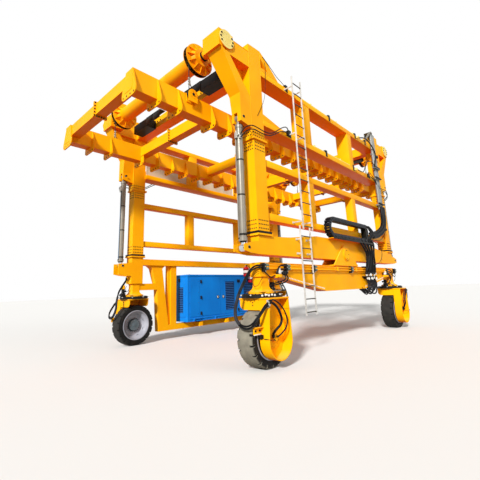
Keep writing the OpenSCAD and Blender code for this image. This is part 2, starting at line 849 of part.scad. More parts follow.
module leg_sleeves() {
    color(paint) for (e = ends, s = sides) at_leg(e, s) difference() {
        union() {
            span([-leg_x / 2, leg_x / 2], [-leg_y / 2, leg_y / 2], [sleeve_z, sleeve_top_z]);
            span([-base_x / 2, base_x / 2], [-base_y / 2, base_y / 2],
                [sleeve_top_z - leg_flange_t, sleeve_top_z]);
        }
        span([sleeve_wall - leg_x / 2, leg_x / 2 - sleeve_wall],
            [sleeve_wall - leg_y / 2, leg_y / 2 - sleeve_wall],
            [sleeve_z - through, sleeve_top_z + through]);
    }
}

module leg_wipers() {
    low = sill_top_z + base_flange_t + run_gap;
    color("black") for (e = ends, s = sides) at_leg(e, s) difference() {
        span([-base_x / 2 + 10, base_x / 2 - 10], [-base_y / 2 + 10, base_y / 2 - 10],
            [low, sleeve_z]);
        span([-post_x_out / 2 - 6, post_x_out / 2 + 6], [-post_y_out / 2 - 6, post_y_out / 2 + 6],
            [low - through, sleeve_z + through]);
    }
}

// Jacks

module jack_rod(e, s) {
    inner = leg_y / 2 - ear_t;
    at_leg(e, s) translate([-jack_off, 0, jack_low_z]) {
        cylinder(d = rod_d, h = rod_l);
        difference() {
            bar_y(eye_d, -eye_w / 2, eye_w / 2);
            bar_y(jack_pin_d - 4, -eye_w, eye_w);
        }
        bar_y(jack_pin_d, -leg_y / 2, leg_y / 2);
        for (m = [0, 1]) mirror([0, m, 0]) bar_y(110, eye_w / 2, inner - run_gap);
    }
}

module pivot_side_jack_rods() {
    color("silver") for (e = ends) jack_rod(e, pivot_side);
}

module genset_side_jack_rods() {
    color("silver") for (e = ends) jack_rod(e, genset_side);
}

module jack_barrels() {
    low = jack_low_z + 140;
    neck = 120;
    high = jack_high_z - eye_d / 2 - neck + 20;
    color("gray") for (e = ends, s = sides) at_leg(e, s) translate([-jack_off, 0, 0]) {
        difference() {
            union() {
                translate([0, 0, low]) cylinder(d = barrel_d, h = high - low);
                translate([0, 0, low]) cylinder(d = barrel_d + 30, h = 80);
                translate([0, 0, high - 70]) cylinder(d = barrel_d + 20, h = 70);
            }
            translate([0, 0, low - through]) cylinder(d = rod_d + 1, h = high - low - 60);
        }
        translate([0, 0, high]) cylinder(d = eye_w - 10, h = neck);
        translate([0, 0, jack_high_z]) {
            bar_y(eye_d, -eye_w / 2, eye_w / 2);
            bar_y(jack_pin_d, -leg_y / 2, leg_y / 2 - 50);
        }
    }
}

// Heads that carry the hoist shaft

// Tapered box, wide under the head block and narrow at its foot
module strut() {
    half = leg_y / 2;
    block_z = head_z - head_size / 2;
    side = [[-strut_foot_x, strut_knee_z], [-strut_foot_x, strut_low_z],
        [-leg_x / 2 - column_nose, strut_low_z - 70],
        [-leg_x / 2 - column_nose, strut_knee_z + 10],
        [-head_off + 110, head_beam_z], [-head_off - 150, block_z]];
    low_y = strut_foot_w - half;
    high_y = strut_top_w - half;
    intersection() {
        slab_xz(side, -half, high_y);
        slab_yz([[-half, strut_low_z - 100], [low_y, strut_low_z - 100],
            [low_y, strut_low_z + 250], [high_y, block_z], [-half, block_z]],
            -head_off - head_size, 0);
    }
}

// Sloped knee that ties the column to the top chord
module knee(rear_x) {
    half = leg_y / 2;
    foot_x = rear_x + haunch_l;
    pocket = [[rear_x + 15, column_top_z - 190], [rear_x + 15, top_chord_z + 95],
        [rear_x + 300, top_chord_z + 80]];
    difference() {
        slab_xz([[rear_x - 1, column_top_z], [rear_x - 1, top_chord_z], [foot_x, top_chord_z],
            [rear_x + 250, column_top_z - 150]], -half, half);
        for (m = [0, 1]) mirror([0, m, 0])
            slab_xz(pocket, -half - through, knee_pocket - half);
    }
}

module head(e, s) {
    half = leg_y / 2;
    nose = -leg_x / 2 - column_nose;
    rear_x = leg_x / 2;
    block = head_size / 2;
    color(paint) at_leg(e, s) difference() {
        union() {
            slab_xz([[nose, sleeve_top_z], [rear_x, sleeve_top_z], [rear_x, column_top_z],
                [nose, column_top_z - 20]], -half, half);
            span([-base_x / 2, base_x / 2], [-base_y / 2, base_y / 2],
                [sleeve_top_z, sleeve_top_z + leg_flange_t]);
            knee(rear_x);
            slab_xz([[rear_x, second_chord_z], [rear_x + haunch_l, second_chord_z],
                [rear_x, second_chord_z + haunch_h]], -half, half);
            span([-head_off, nose], [-half, half],
                [head_beam_z, head_beam_z + head_beam_h]);
            span([-head_off - block, -head_off + block], [-half, head_inner],
                [head_z - block, head_z + block]);
            translate([-head_off, 0, head_z])
                bar_y(2 * end_plate_r, -half - end_plate_t, -half);
            strut();
            slab_xz([[nose, strut_knee_z], [-head_off + 105, head_beam_z + 5],
                [nose, head_beam_z + 5]], half - 85 - web_t, half - 85);
        }
        span([nose + sleeve_wall, rear_x - sleeve_wall],
            [sleeve_wall - half, half - sleeve_wall],
            [sleeve_top_z - through, post_top_z + 60]);
        translate([-head_off, 0, head_z])
            bar_y(shaft_d + 2 * run_gap, -half + 40, head_inner + through);
        translate([-jack_off, 0, jack_high_z]) bar_y(jack_pin_d + 1, -half - through, half);
        span([-jack_off - 140, -jack_off + 140], [-eye_w / 2 - 2, eye_w / 2 + 2],
            [strut_low_z - 250, jack_high_z + 100]);
    }
}

// Side frames

module chords(s) {
    half = chord_l / 2;
    outer = -leg_at_y - leg_y / 2;
    color(paint) at_side(s) {
        span([-half, half], [outer, outer + leg_y], [top_chord_z - top_chord_h, top_chord_z]);
        span([-half, half], [outer, outer + second_chord_w],
            [second_chord_z - second_chord_h, second_chord_z]);
        for (z = [third_chord_z, fourth_chord_z])
            span([-half, half], [-leg_at_y - low_chord_w / 2, -leg_at_y + low_chord_w / 2],
                [z - low_chord_h, z]);
    }
}

module posts(s) {
    color(paint) at_side(s) for (x = [front_post_x, rear_post_x]) {
        span([x - post_x / 2, x + post_x / 2],
            [-leg_at_y - leg_y / 2 + post_setback, -leg_at_y + leg_y / 2],
            [second_chord_z, top_chord_z - top_chord_h]);
        span([x - low_post_x / 2, x + low_post_x / 2],
            [-leg_at_y - low_chord_w / 2, -leg_at_y + low_chord_w / 2],
            [fourth_chord_z, third_chord_z - low_chord_h]);
    }
}

// Cross beams between the sides, with the black boxes on them

module cross_beams() {
    half = leg_at_y - leg_y / 2;
    color(paint) for (e = ends) translate([e * leg_at_x, 0, 0])
        span([-cross_w / 2, cross_w / 2], [-half, half], [cross_z, cross_z + cross_h]);
}

module control_boxes() {
    color("black") for (e = ends, s = sides) at_leg(e, s)
        span([-cross_w / 2 - box_d, -cross_w / 2], [leg_at_y - box_off - box_l, leg_at_y - box_off],
            [cross_z - box_drop, cross_z - box_drop + box_h]);
}

module sign_boards() {
    inner = leg_at_y - leg_y / 2;
    front_board = [leg_x / 2 + 20 - leg_at_x, front_post_x - post_x / 2 - 120];
    rear_board = [front_post_x + post_x / 2 + 90, rear_post_x - post_x / 2 - 240];
    for (x = [front_board, rear_board]) color("ivory")
        span(x, [inner - board_t, inner], [second_chord_z, second_chord_z + board_h]);
}

// Energy chain folded over itself, its rear ends in one housing

module energy_chain() {
    bend_z = chain_z + chain_r;
    top = chain_z + 2 * chain_r;
    inner = chain_r - chain_h;
    band = concat([[chain_end_x, top]], arc(chain_bend_x, bend_z, chain_r, 90, 270, 16),
        [[chain_end_x, chain_z], [chain_end_x, chain_z + chain_h]],
        arc(chain_bend_x, bend_z, inner, 270, 90, 16), [[chain_end_x, top - chain_h]]);
    color("black") {
        slab_xz(band, -chain_y - chain_w, -chain_y);
        span([chain_end_x - 60, chain_end_x + 25], [-chain_y - chain_w, -chain_y],
            [chain_z, top]);
    }
}

module leg_conduits() {
    face = -leg_at_y - leg_y / 2;
    low_face = -leg_at_y - low_chord_w / 2;
    pipe_y = face - conduit_d / 2 - 5;
    first = leg_at_x - leg_x / 2 - 60 - conduit_d / 2;
    half = conduit_d / 2 + 25;
    color("silver") {
        for (i = [0:2]) translate([first - i * conduit_pitch, pipe_y, conduit_low_z])
            cylinder(d = conduit_d, h = conduit_high_z - conduit_low_z);
        for (c = [[third_chord_z - 90, low_face], [second_chord_z - 80, face],
            [top_chord_z - 400, face]])
            span([first - 2 * conduit_pitch - half, first + half], [pipe_y - 20, c[1]],
                [c[0], c[0] + 45]);
        span([hose_bracket_x, first + half], [hose_bracket_y, pipe_y],
            [hose_bracket_z, hose_bracket_z + hose_bracket_t]);
    }
}

function unit(v) = v / norm(v);
function heading(p, i) = unit(p[min(i + 1, len(p) - 1)] - p[max(i - 1, 0)]);

// Tube along a route that never runs along Y, its rings square to the route
module tube(route, d) {
    n = 8;
    last = len(route) - 1;
    points = [for (i = [0:last]) let (t = heading(route, i), u = unit(cross(t, [0, 1, 0])), v = cross(t, u))
        for (k = [0:n - 1]) route[i] + d / 2 * (u * cos(360 * k / n) + v * sin(360 * k / n))];
    walls = [for (i = [0:last - 1], k = [0:n - 1]) let (m = (k + 1) % n)
        each [[i * n + k, i * n + n + k, i * n + n + m], [i * n + k, i * n + n + m, i * n + m]]];
    polyhedron(points, concat([[for (k = [0:n - 1]) k], [for (k = [n - 1:-1:0]) last * n + k]], walls));
}

module column_hose() {
    color("black") tube(column_hose_route, column_hose_d);
}

module loop_cable() {
    color("black") tube(loop_cable_route, loop_cable_d);
}

// Two pipes side by side along X, held by blocks that stand on a plate
module pipe_pair(x0, x1, d, pitch, blocks) {
    for (y = [0, pitch]) translate([x0, y, d / 2 + 12]) rotate([0, 90, 0])
        cylinder(d = d, h = x1 - x0);
    for (x = blocks) span([x - 25, x + 25], [-d / 2 - 14, pitch + d / 2 + 14], [0, d + 22]);
}

module frame_pipes() {
    edge = -leg_at_y - leg_y / 2 + 22 + pipe_d / 2;
    low = -2480;
    high = leg_at_x - leg_x / 2 - haunch_l - 40;
    color(paint) for (z = [top_chord_z, second_chord_z]) translate([0, edge, z])
        pipe_pair(low, high, pipe_d, pipe_pitch, [low + 40, -1150, 450, 1700, high - 60]);
    hose_clips();
}

// Clips on the side frame from which the two hoses set out
module hose_clips() {
    face = -leg_at_y - leg_y / 2;
    for (c = [[column_hose_x, column_hose_z], [loop_cable_x, loop_cable_z]])
        color("dimgray") span([c[0] - clip_w, c[0]], [face - clip_off, face], [c[1] - 28, c[1] + 28]);
}

module equaliser_pipes() {
    web = -leg_at_y - eq_w / 2;
    half = leg_at_x + 60;
    color(paint) translate([0, web, eq_top_z - eq_flange_t - 32]) rotate([90, 0, 0])
        mirror([0, 1, 0]) {
            for (y = [10, 10 + eq_pipe_pitch]) translate([-half, y, 62]) rotate([0, 90, 0])
                cylinder(d = eq_pipe_d, h = 2 * half - 150);
            for (x = [-half + 40, -2900, -1760, -600, 600, 1760, 2900, half - 240])
                span([x - 25, x + 25], [-14, eq_pipe_pitch + 34], [0, 88]);
        }
}

module valve_blocks() {
    web = -leg_at_y - eq_w / 2;
    color("dimgray") for (x = [valve_off - leg_at_x, leg_at_x - 780]) translate([x, web - 65, valve_z]) {
        span([-125, 125], [-50, 65], [0, 90]);
        for (i = [-1:1]) translate([i * 75, 0, 45]) bar_y(56, -110, -50);
    }
}

// Ladder in two sections that slide past each other

module ladder_section(low, high, y, w, first) {
    for (x = [-w / 2, w / 2 - stile_t])
        span([ladder_x + x, ladder_x + x + stile_t], [y, y + stile_w], [low, high]);
    for (z = [first:rung_pitch:high - 60])
        translate([ladder_x - w / 2 + stile_t / 2, y + stile_w / 2, z]) rotate([0, 90, 0])
            cylinder(d = rung_d, h = w - stile_t);
}

// Straps from both stiles to the face of a frame member, at the heights given
module ladder_straps(w, gap, heights) {
    face = -leg_at_y - leg_y / 2;
    for (z = heights, x = [-w / 2, w / 2 - stile_t])
        span([ladder_x + x, ladder_x + x + stile_t], [face - gap, face], [z, z + 50]);
}

module upper_ladder() {
    low = low_ladder_top_z - ladder_lap;
    color("silver") {
        ladder_section(low, ladder_high_z, -leg_at_y - leg_y / 2 - ladder_gap - stile_w,
            ladder_w, low + 100);
        ladder_straps(ladder_w, ladder_gap, [second_chord_z - 100, top_chord_z - 200]);
    }
}

module lower_ladder() {
    color("silver") {
        ladder_section(ladder_low_z, low_ladder_top_z,
            -leg_at_y - leg_y / 2 - low_ladder_gap - stile_w, low_ladder_w, ladder_low_z + 80);
        ladder_straps(low_ladder_w, low_ladder_gap, [sill_bottom_z + 65, sill_top_z - 100]);
    }
}

// Hoist shafts with ribbed rope drums

module at_shaft(e) {
    translate([e * (leg_at_x + head_off), 0, head_z]) children();
}

// One radial rib of a drum, standing on the flange's outer face
module drum_rib(w) {
    linear_extrude(rib_t, center = true) polygon([
        [tube_d / 2 - 5, drum_gap / 2 + drum_flange_t - 2],
        [drum_flange_d / 2 - 12, drum_gap / 2 + drum_flange_t - 2],
        [drum_flange_d / 2 - 30, drum_gap / 2 + drum_flange_t + 30], [tube_d / 2 - 5, w]]);
}

// Two ribbed flanges with the rope's groove between them
module drum(s) {
    w = drum_gap / 2 + drum_half_w;
    core = drum_core_d / 2;
    out = drum_flange_d / 2;
    face = drum_gap / 2 + drum_flange_t;
    at_side(s) translate([0, -drum_y, 0]) {
        rotate([90, 0, 0]) rotate_extrude() polygon([[0, -w], [tube_d / 2, -w],
            [tube_d / 2, -w + 20], [core, -face], [out, -face], [out, -drum_gap / 2],
            [core, -drum_gap / 2], [core, drum_gap / 2], [out, drum_gap / 2], [out, face],
            [core, face], [tube_d / 2, w - 20], [tube_d / 2, w], [0, w]]);
        for (i = [0:rib_n - 1], m = [0, 1]) mirror([0, m, 0])
            rotate([0, i * 360 / rib_n, 0]) drum_rib(w);
    }
}

module hoist_shaft(e) {
    tube_end = drum_y - drum_gap / 2 - drum_half_w;
    shaft_end = leg_at_y - 60;
    color(paint) at_shaft(e) {
        bar_y(tube_d, -tube_end - 1, tube_end + 1);
        bar_y(shaft_d, -shaft_end, shaft_end);
        bar_y(1.5 * shaft_d, head_inner + 40 - leg_at_y, leg_at_y - head_inner - 40);
        for (s = sides) drum(s);
    }
}

// Lifting frame

function hanger_places() = [for (x = concat(
    [for (i = [0:hanger_n - 1]) hanger_pitch * (i + 0.5)],
    [lift_l / 2 - 1140, lift_l / 2 - 600, (lift_l - hanger_t) / 2]))
    if (abs(x - anchor_x) > anchor_cheek_r + hanger_t) x];

// Whether a cross bar meets the beam at this place
function at_bar(x) = min([for (b = bar_places) abs(x - b)]) < (bar_w + hanger_t) / 2 - 1;

// Plate across the beam, cut off on the inner side where a bar sits
module hanger(cut) {
    top = lift_beam_w / 2;
    foot = hanger_w / 2;
    low = lift_beam_z - hanger_drop;
    bar_low = lift_top_z - bar_h - 30;
    r = hanger_r;
    outline = concat([[top, lift_top_z], [-top, lift_top_z], [-foot, lift_beam_z + 20]],
        arc(-foot + r, low + r, r, 180, 270, 4), arc(foot - r, low + r, r, -90, 0, 4),
        cut ? [[foot, lift_beam_z + 20], [foot - 15, bar_low - 5], [top, bar_low - 5]]
        : [[foot, lift_beam_z + 20]]);
    difference() {
        slab_yz(outline, -hanger_t / 2, hanger_t / 2);
        for (i = [-1.5:1.5]) translate([-hanger_t, i * hanger_hole_pitch, low + hanger_hole_h])
            rotate([0, 90, 0]) cylinder(d = hanger_hole_d, h = 2 * hanger_t);
    }
}

module lifting_beams() {
    color(paint) for (s = sides) at_side(s) translate([0, -lift_beam_y, 0]) {
        span([-lift_l / 2, lift_l / 2], [-lift_beam_w / 2, lift_beam_w / 2],
            [lift_beam_z, lift_top_z]);
        for (x = hanger_places(), e = ends) translate([e * x, 0, 0]) hanger(at_bar(x));
    }
}

module lifting_cross_bars() {
    half = lift_beam_y - lift_beam_w / 2;
    low = lift_top_z - bar_h - 30;
    wide = bar_w / 2 + bar_flange_lip;
    color(paint) for (x = bar_places, e = ends) translate([e * x, 0, 0]) {
        span([-bar_w / 2, bar_w / 2], [-half, half], [low, low + bar_h]);
        for (m = [0, 1]) mirror([0, m, 0])
            span([-wide, wide], [1, 1 + bar_flange_t],
                [low - bar_flange_lip, low + bar_h + bar_flange_lip]);
    }
}

module at_anchor(e, s) {
    at_side(s) translate([e * anchor_x, -drum_y, anchor_z]) children();
}

module rope_anchors() {
    face = drum_y - lift_w / 2;
    t = 18;
    r = anchor_cheek_r;
    cheek = concat(arc(0, 0, r, 0, 180, 16), [[-r, -200], [r, -200]]);
    color(paint) for (e = ends, s = sides) at_anchor(e, s) {
        slab_xz(cheek, face - t, face);
        slab_xz(cheek, -face, t - face);
        bar_y(2 * anchor_r - rope_d - 2 * run_gap, -face, face - t);
    }
}

module hoist_ropes() {
    color("black") for (e = ends, s = sides) at_side(s)
        translate([e * (leg_at_x + head_off + rope_off), -drum_y, anchor_z])
            cylinder(d = rope_d, h = head_z - anchor_z, $fn = 8);
}

tyre(front, pivot_side);  // front_pivot_side_tyre
tyre(rear, pivot_side);  // rear_pivot_side_tyre
tyre(front, genset_side);  // front_genset_side_tyre
tyre(rear, genset_side);  // rear_genset_side_tyre
rim(front, pivot_side);  // front_pivot_side_rim
rim(rear, pivot_side);  // rear_pivot_side_rim
rim(front, genset_side);  // front_genset_side_rim
rim(rear, genset_side);  // rear_genset_side_rim
fork(front, pivot_side);  // front_pivot_side_fork
fork(rear, pivot_side);  // rear_pivot_side_fork
fork(front, genset_side);  // front_genset_side_fork
fork(rear, genset_side);  // rear_genset_side_fork
pivot_side_pedestals();
genset_side_pedestals();
equaliser_beam();
pivot_bracket();
pivot_side_sill();
genset_side_sill();
genset_side_leg_bases();
generator_cradle();
generator_set();
pivot_side_leg_posts();
genset_side_leg_posts();
pivot_side_jack_rods();
genset_side_jack_rods();
jack_barrels();
leg_sleeves();
leg_wipers();
head(front, pivot_side);  // front_pivot_side_head
head(rear, pivot_side);  // rear_pivot_side_head
head(front, genset_side);  // front_genset_side_head
head(rear, genset_side);  // rear_genset_side_head
chords(pivot_side);  // pivot_side_chords
chords(genset_side);  // genset_side_chords
posts(pivot_side);  // pivot_side_posts
posts(genset_side);  // genset_side_posts
cross_beams();
control_boxes();
sign_boards();
upper_ladder();
lower_ladder();
hoist_shaft(front);  // front_hoist_shaft
hoist_shaft(rear);  // rear_hoist_shaft
lifting_beams();
lifting_cross_bars();
rope_anchors();
hoist_ropes();
slew_rings(pivot_side);  // pivot_side_slew_rings
slew_rings(genset_side);  // genset_side_slew_rings
steering_drives(pivot_side, rear);  // pivot_side_steering_drives
steering_drives(genset_side, front);  // genset_side_steering_drives
energy_chain();
leg_conduits();
frame_pipes();
equaliser_pipes();
valve_blocks();
fire_extinguishers();
generator_mounts();
column_hose();
loop_cable();
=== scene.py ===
import math

import bmesh
import bpy
from mathutils import Matrix, Vector


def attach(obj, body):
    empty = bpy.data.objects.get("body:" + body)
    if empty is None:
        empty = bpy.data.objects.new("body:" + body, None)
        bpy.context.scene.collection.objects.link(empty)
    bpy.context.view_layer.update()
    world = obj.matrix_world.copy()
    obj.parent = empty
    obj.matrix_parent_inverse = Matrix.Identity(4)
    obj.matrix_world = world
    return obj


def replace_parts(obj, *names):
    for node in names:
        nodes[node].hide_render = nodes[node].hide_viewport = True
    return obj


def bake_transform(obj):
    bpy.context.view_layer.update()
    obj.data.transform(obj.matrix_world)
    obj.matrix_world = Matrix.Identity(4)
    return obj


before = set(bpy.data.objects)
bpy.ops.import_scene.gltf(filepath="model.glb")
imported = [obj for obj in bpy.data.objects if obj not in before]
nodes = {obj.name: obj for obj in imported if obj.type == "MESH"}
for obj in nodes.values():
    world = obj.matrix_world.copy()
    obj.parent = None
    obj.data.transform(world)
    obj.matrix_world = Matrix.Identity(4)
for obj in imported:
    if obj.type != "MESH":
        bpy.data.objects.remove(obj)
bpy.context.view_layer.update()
print("frame loaded:", len(nodes), "nodes")

# Places of the machine, in metres: leg axes, end signs (front, rear) and side signs
legX, legY = 3.74, 2.66
endSigns = {"front": -1, "rear": 1}
sideSigns = {"pivot": -1, "genset": 1}
legs = [(f"{end}_{side}_side", end, side, ex, sy)
        for end, ex in endSigns.items() for side, sy in sideSigns.items()]


def atLeg(end, side, x, y, z):
    # A point drawn at the front pivot side leg, with x towards the end and y outboard negative
    px, py = x - legX, y - legY
    return Vector((px if end == "front" else -px, py if side == "pivot" else -py, z))


def toLeg(end, side, v):
    # A direction drawn at the front pivot side leg
    return Vector((v[0] if end == "front" else -v[0], v[1] if side == "pivot" else -v[1], v[2]))


# Colours and nodes
def srgb(code):
    channels = [int(code[i:i + 2], 16) / 255 for i in (1, 3, 5)]
    linear = [c / 12.92 if c <= 0.04045 else ((c + 0.055) / 1.055) ** 2.4 for c in channels]
    return (*linear, 1.0)


def addNode(tree, kind, settings=None, **links):
    # Adds a node, sets its properties, and fills inputs: another node's output or a plain value
    node = tree.nodes.new(kind)
    for key, value in (settings or {}).items():
        setattr(node, key, value)
    for key, value in links.items():
        name = key.replace("_", " ")
        spot = node.inputs[int(name[1:])] if name[0] == "i" and name[1:].isdigit() else node.inputs[name]
        if isinstance(value, bpy.types.NodeSocket):
            tree.links.new(value, spot)
        else:
            spot.default_value = value
    return node


def newMaterial(name, roughness, metallic=0.0, shine=0.5):
    mat = bpy.data.materials.new(name)
    mat.use_nodes = True
    tree = mat.node_tree
    shader = tree.nodes["Principled BSDF"]
    shader.inputs["Roughness"].default_value = roughness
    shader.inputs["Metallic"].default_value = metallic
    shader.inputs["Specular IOR Level"].default_value = shine
    place = addNode(tree, "ShaderNodeTexCoord").outputs["Object"]
    return mat, tree, shader, place


def noise(tree, place, scale, detail=3.0, stretch=None):
    if stretch:
        place = addNode(tree, "ShaderNodeMapping", Vector=place, Scale=stretch).outputs[0]
    return addNode(tree, "ShaderNodeTexNoise", Vector=place, Scale=scale, Detail=detail).outputs["Fac"]


def ramp(tree, fac, low, high, toLow=0.0, toHigh=1.0):
    return addNode(tree, "ShaderNodeMapRange", None, Value=fac, From_Min=low, From_Max=high,
                   To_Min=toLow, To_Max=toHigh).outputs[0]


def blendColour(tree, fac, first, second):
    node = addNode(tree, "ShaderNodeMix", {"data_type": "RGBA"})
    for value, spot in ((fac, 0), (first, 6), (second, 7)):
        if isinstance(value, bpy.types.NodeSocket):
            tree.links.new(value, node.inputs[spot])
        else:
            node.inputs[spot].default_value = value
    return node.outputs[2]


def addBump(tree, shader, height, distance, strength=1.0, normal=None):
    bump = addNode(tree, "ShaderNodeBump", None, Height=height, Distance=distance, Strength=strength)
    if normal is not None:
        tree.links.new(normal, bump.inputs["Normal"])
    tree.links.new(bump.outputs[0], shader.inputs["Normal"])
    return bump.outputs[0]


def lookingZ(tree, low, high):
    # How far a face looks up or down: 0 where its normal's Z is low, 1 where it is high
    normal = addNode(tree, "ShaderNodeNewGeometry").outputs["Normal"]
    split = addNode(tree, "ShaderNodeSeparateXYZ", None, Vector=normal)
    return ramp(tree, split.outputs["Z"], low, high)


def enamel(name, base, deep, under, dust, roughness=0.45, dustAmount=0.3, streaks=0.25):
    # Two-pack enamel sprayed over welded plate: satin, slightly uneven in tone, with faint
    # vertical streaks under edges, dust on top faces, and painted shade underneath: a deeper tone on faces
    # looking down
    mat, tree, shader, place = newMaterial(name, roughness, 0.0, 0.11)
    blotch = noise(tree, place, 0.9, 4)
    colour = blendColour(tree, ramp(tree, blotch, 0.35, 0.7), srgb(base), srgb(deep))
    drip = noise(tree, place, 5.0, 5, (1.0, 1.0, 0.06))
    colour = blendColour(tree, ramp(tree, drip, 0.56, 0.8, 0.0, streaks), colour, srgb(deep))
    speck = noise(tree, place, 28.0, 6)
    colour = blendColour(tree, ramp(tree, speck, 0.6, 0.78, 0.0, 0.16), colour, srgb(deep))
    # painted shade: faces looking down are blended towards the under colour
    colour = blendColour(tree, lookingZ(tree, -0.72, -0.96), colour, srgb(under))
    top = addNode(tree, "ShaderNodeMath", {"operation": "MULTIPLY"}, i0=lookingZ(tree, 0.6, 0.95),
                  i1=ramp(tree, noise(tree, place, 3.0, 5), 0.35, 0.65, 0.2 * dustAmount, dustAmount))
    colour = blendColour(tree, top.outputs[0], colour, srgb(dust))
    tree.links.new(colour, shader.inputs["Base Color"])
    tree.links.new(ramp(tree, speck, 0.3, 0.7, roughness - 0.06, roughness + 0.12),
                   shader.inputs["Roughness"])
    peel = noise(tree, place, 260.0, 2)  # orange peel, drawn at 4 mm so that it shows up close
    wave = noise(tree, place, 2.2, 2)  # plates pulled by welding
    relief = addNode(tree, "ShaderNodeMath", {"operation": "MULTIPLY_ADD"}, i0=wave, i1=14.0, i2=peel)
    rounded = addNode(tree, "ShaderNodeBevel", {"samples": 4}, Radius=0.008).outputs[0]
    addBump(tree, shader, relief.outputs[0], 0.0004, 0.5, rounded)
    return mat


def plainPaint(name, base, deep, roughness, metallic=0.0, grain=60.0, depth=0.0006, shine=0.3):
    # Any finish with two tones and a fine grain, for smaller parts
    mat, tree, shader, place = newMaterial(name, roughness, metallic, shine)
    fine = noise(tree, place, grain, 5)
    wide = noise(tree, place, 3.0, 3)
    both = addNode(tree, "ShaderNodeMath", {"operation": "MULTIPLY_ADD"}, i0=wide, i1=0.6,
                   i2=addNode(tree, "ShaderNodeMath", {"operation": "MULTIPLY"}, i0=fine, i1=0.4).outputs[0])
    colour = blendColour(tree, ramp(tree, both.outputs[0], 0.35, 0.65), srgb(base), srgb(deep))
    tree.links.new(colour, shader.inputs["Base Color"])
    tree.links.new(ramp(tree, fine, 0.3, 0.7, roughness - 0.08, roughness + 0.1),
                   shader.inputs["Roughness"])
    addBump(tree, shader, fine, depth, 0.4)
    return mat


def greasedRope(name):
    # Greased six-strand steel rope: dark, with slanted strands 40 mm apart
    mat, tree, shader, place = newMaterial(name, 0.5, 0.0, 0.25)
    slant = addNode(tree, "ShaderNodeMapping", None, Vector=place, Rotation=(0.5, 0.35, 0.0))
    wave = addNode(tree, "ShaderNodeTexWave", {"bands_direction": "Z"}, Vector=slant.outputs[0],
                   Scale=24.0, Distortion=0.6)
    colour = blendColour(tree, wave.outputs["Fac"], srgb("#0A0908"), srgb("#2E2A25"))
    tree.links.new(colour, shader.inputs["Base Color"])
    addBump(tree, shader, wave.outputs["Fac"], 0.003, 0.8)
    return mat


def treadRubber(name, light, dark, amount):
    # Solid tyre rubber: sidewall black, worn tread polished and grey-brown with yard dust
    mat, tree, shader, place = newMaterial(name, 0.78, 0.0, 0.2)
    worn = addNode(tree, "ShaderNodeAttribute", {"attribute_name": "worn"}).outputs["Fac"]
    cloud = noise(tree, place, 7.0, 6)
    fine = noise(tree, place, 130.0, 4)
    wall = blendColour(tree, ramp(tree, cloud, 0.4, 0.75), srgb("#0A0A0A"), srgb("#24221F"))
    tread = blendColour(tree, ramp(tree, cloud, 0.3, 0.7), srgb(dark), srgb(light))
    tread = blendColour(tree, ramp(tree, fine, 0.58, 0.78, 0.0, 0.4), tread, srgb("#4A463E"))
    mask = addNode(tree, "ShaderNodeMath", {"operation": "MULTIPLY"}, i0=worn,
                   i1=ramp(tree, fine, 0.25, 0.45, 0.75 * amount, amount))
    colour = blendColour(tree, mask.outputs[0], wall, tread)
    tree.links.new(colour, shader.inputs["Base Color"])
    tree.links.new(ramp(tree, cloud, 0.3, 0.7, 0.62, 0.88), shader.inputs["Roughness"])
    addBump(tree, shader, fine, 0.0012, 0.6)
    return mat


def drumEnamel(name, drumY):
    # The same enamel on the drums, with rope grease smeared inside the groove
    # the fourth colour, #FF7600, is painted shade for faces looking down
    mat = enamel(name, "#FFB200", "#F59A00", "#FF7600", "#F2D48A")
    tree = mat.node_tree
    shader = tree.nodes["Principled BSDF"]
    place = addNode(tree, "ShaderNodeTexCoord").outputs["Object"]
    split = addNode(tree, "ShaderNodeSeparateXYZ", None, Vector=place)
    away = addNode(tree, "ShaderNodeMath", {"operation": "ABSOLUTE"}, i0=split.outputs["Y"])
    off = addNode(tree, "ShaderNodeMath", {"operation": "SUBTRACT"}, i0=away.outputs[0], i1=drumY)
    side = addNode(tree, "ShaderNodeMath", {"operation": "ABSOLUTE"}, i0=off.outputs[0])
    smear = addNode(tree, "ShaderNodeMath", {"operation": "MULTIPLY_ADD"},
                    i0=noise(tree, place, 30.0, 4), i1=0.012, i2=side.outputs[0])
    mask = ramp(tree, smear.outputs[0], 0.056, 0.062, 1.0, 0.0)
    old = shader.inputs["Base Color"].links[0].from_socket
    tree.links.new(blendColour(tree, mask, old, srgb("#14110D")), shader.inputs["Base Color"])
    return mat
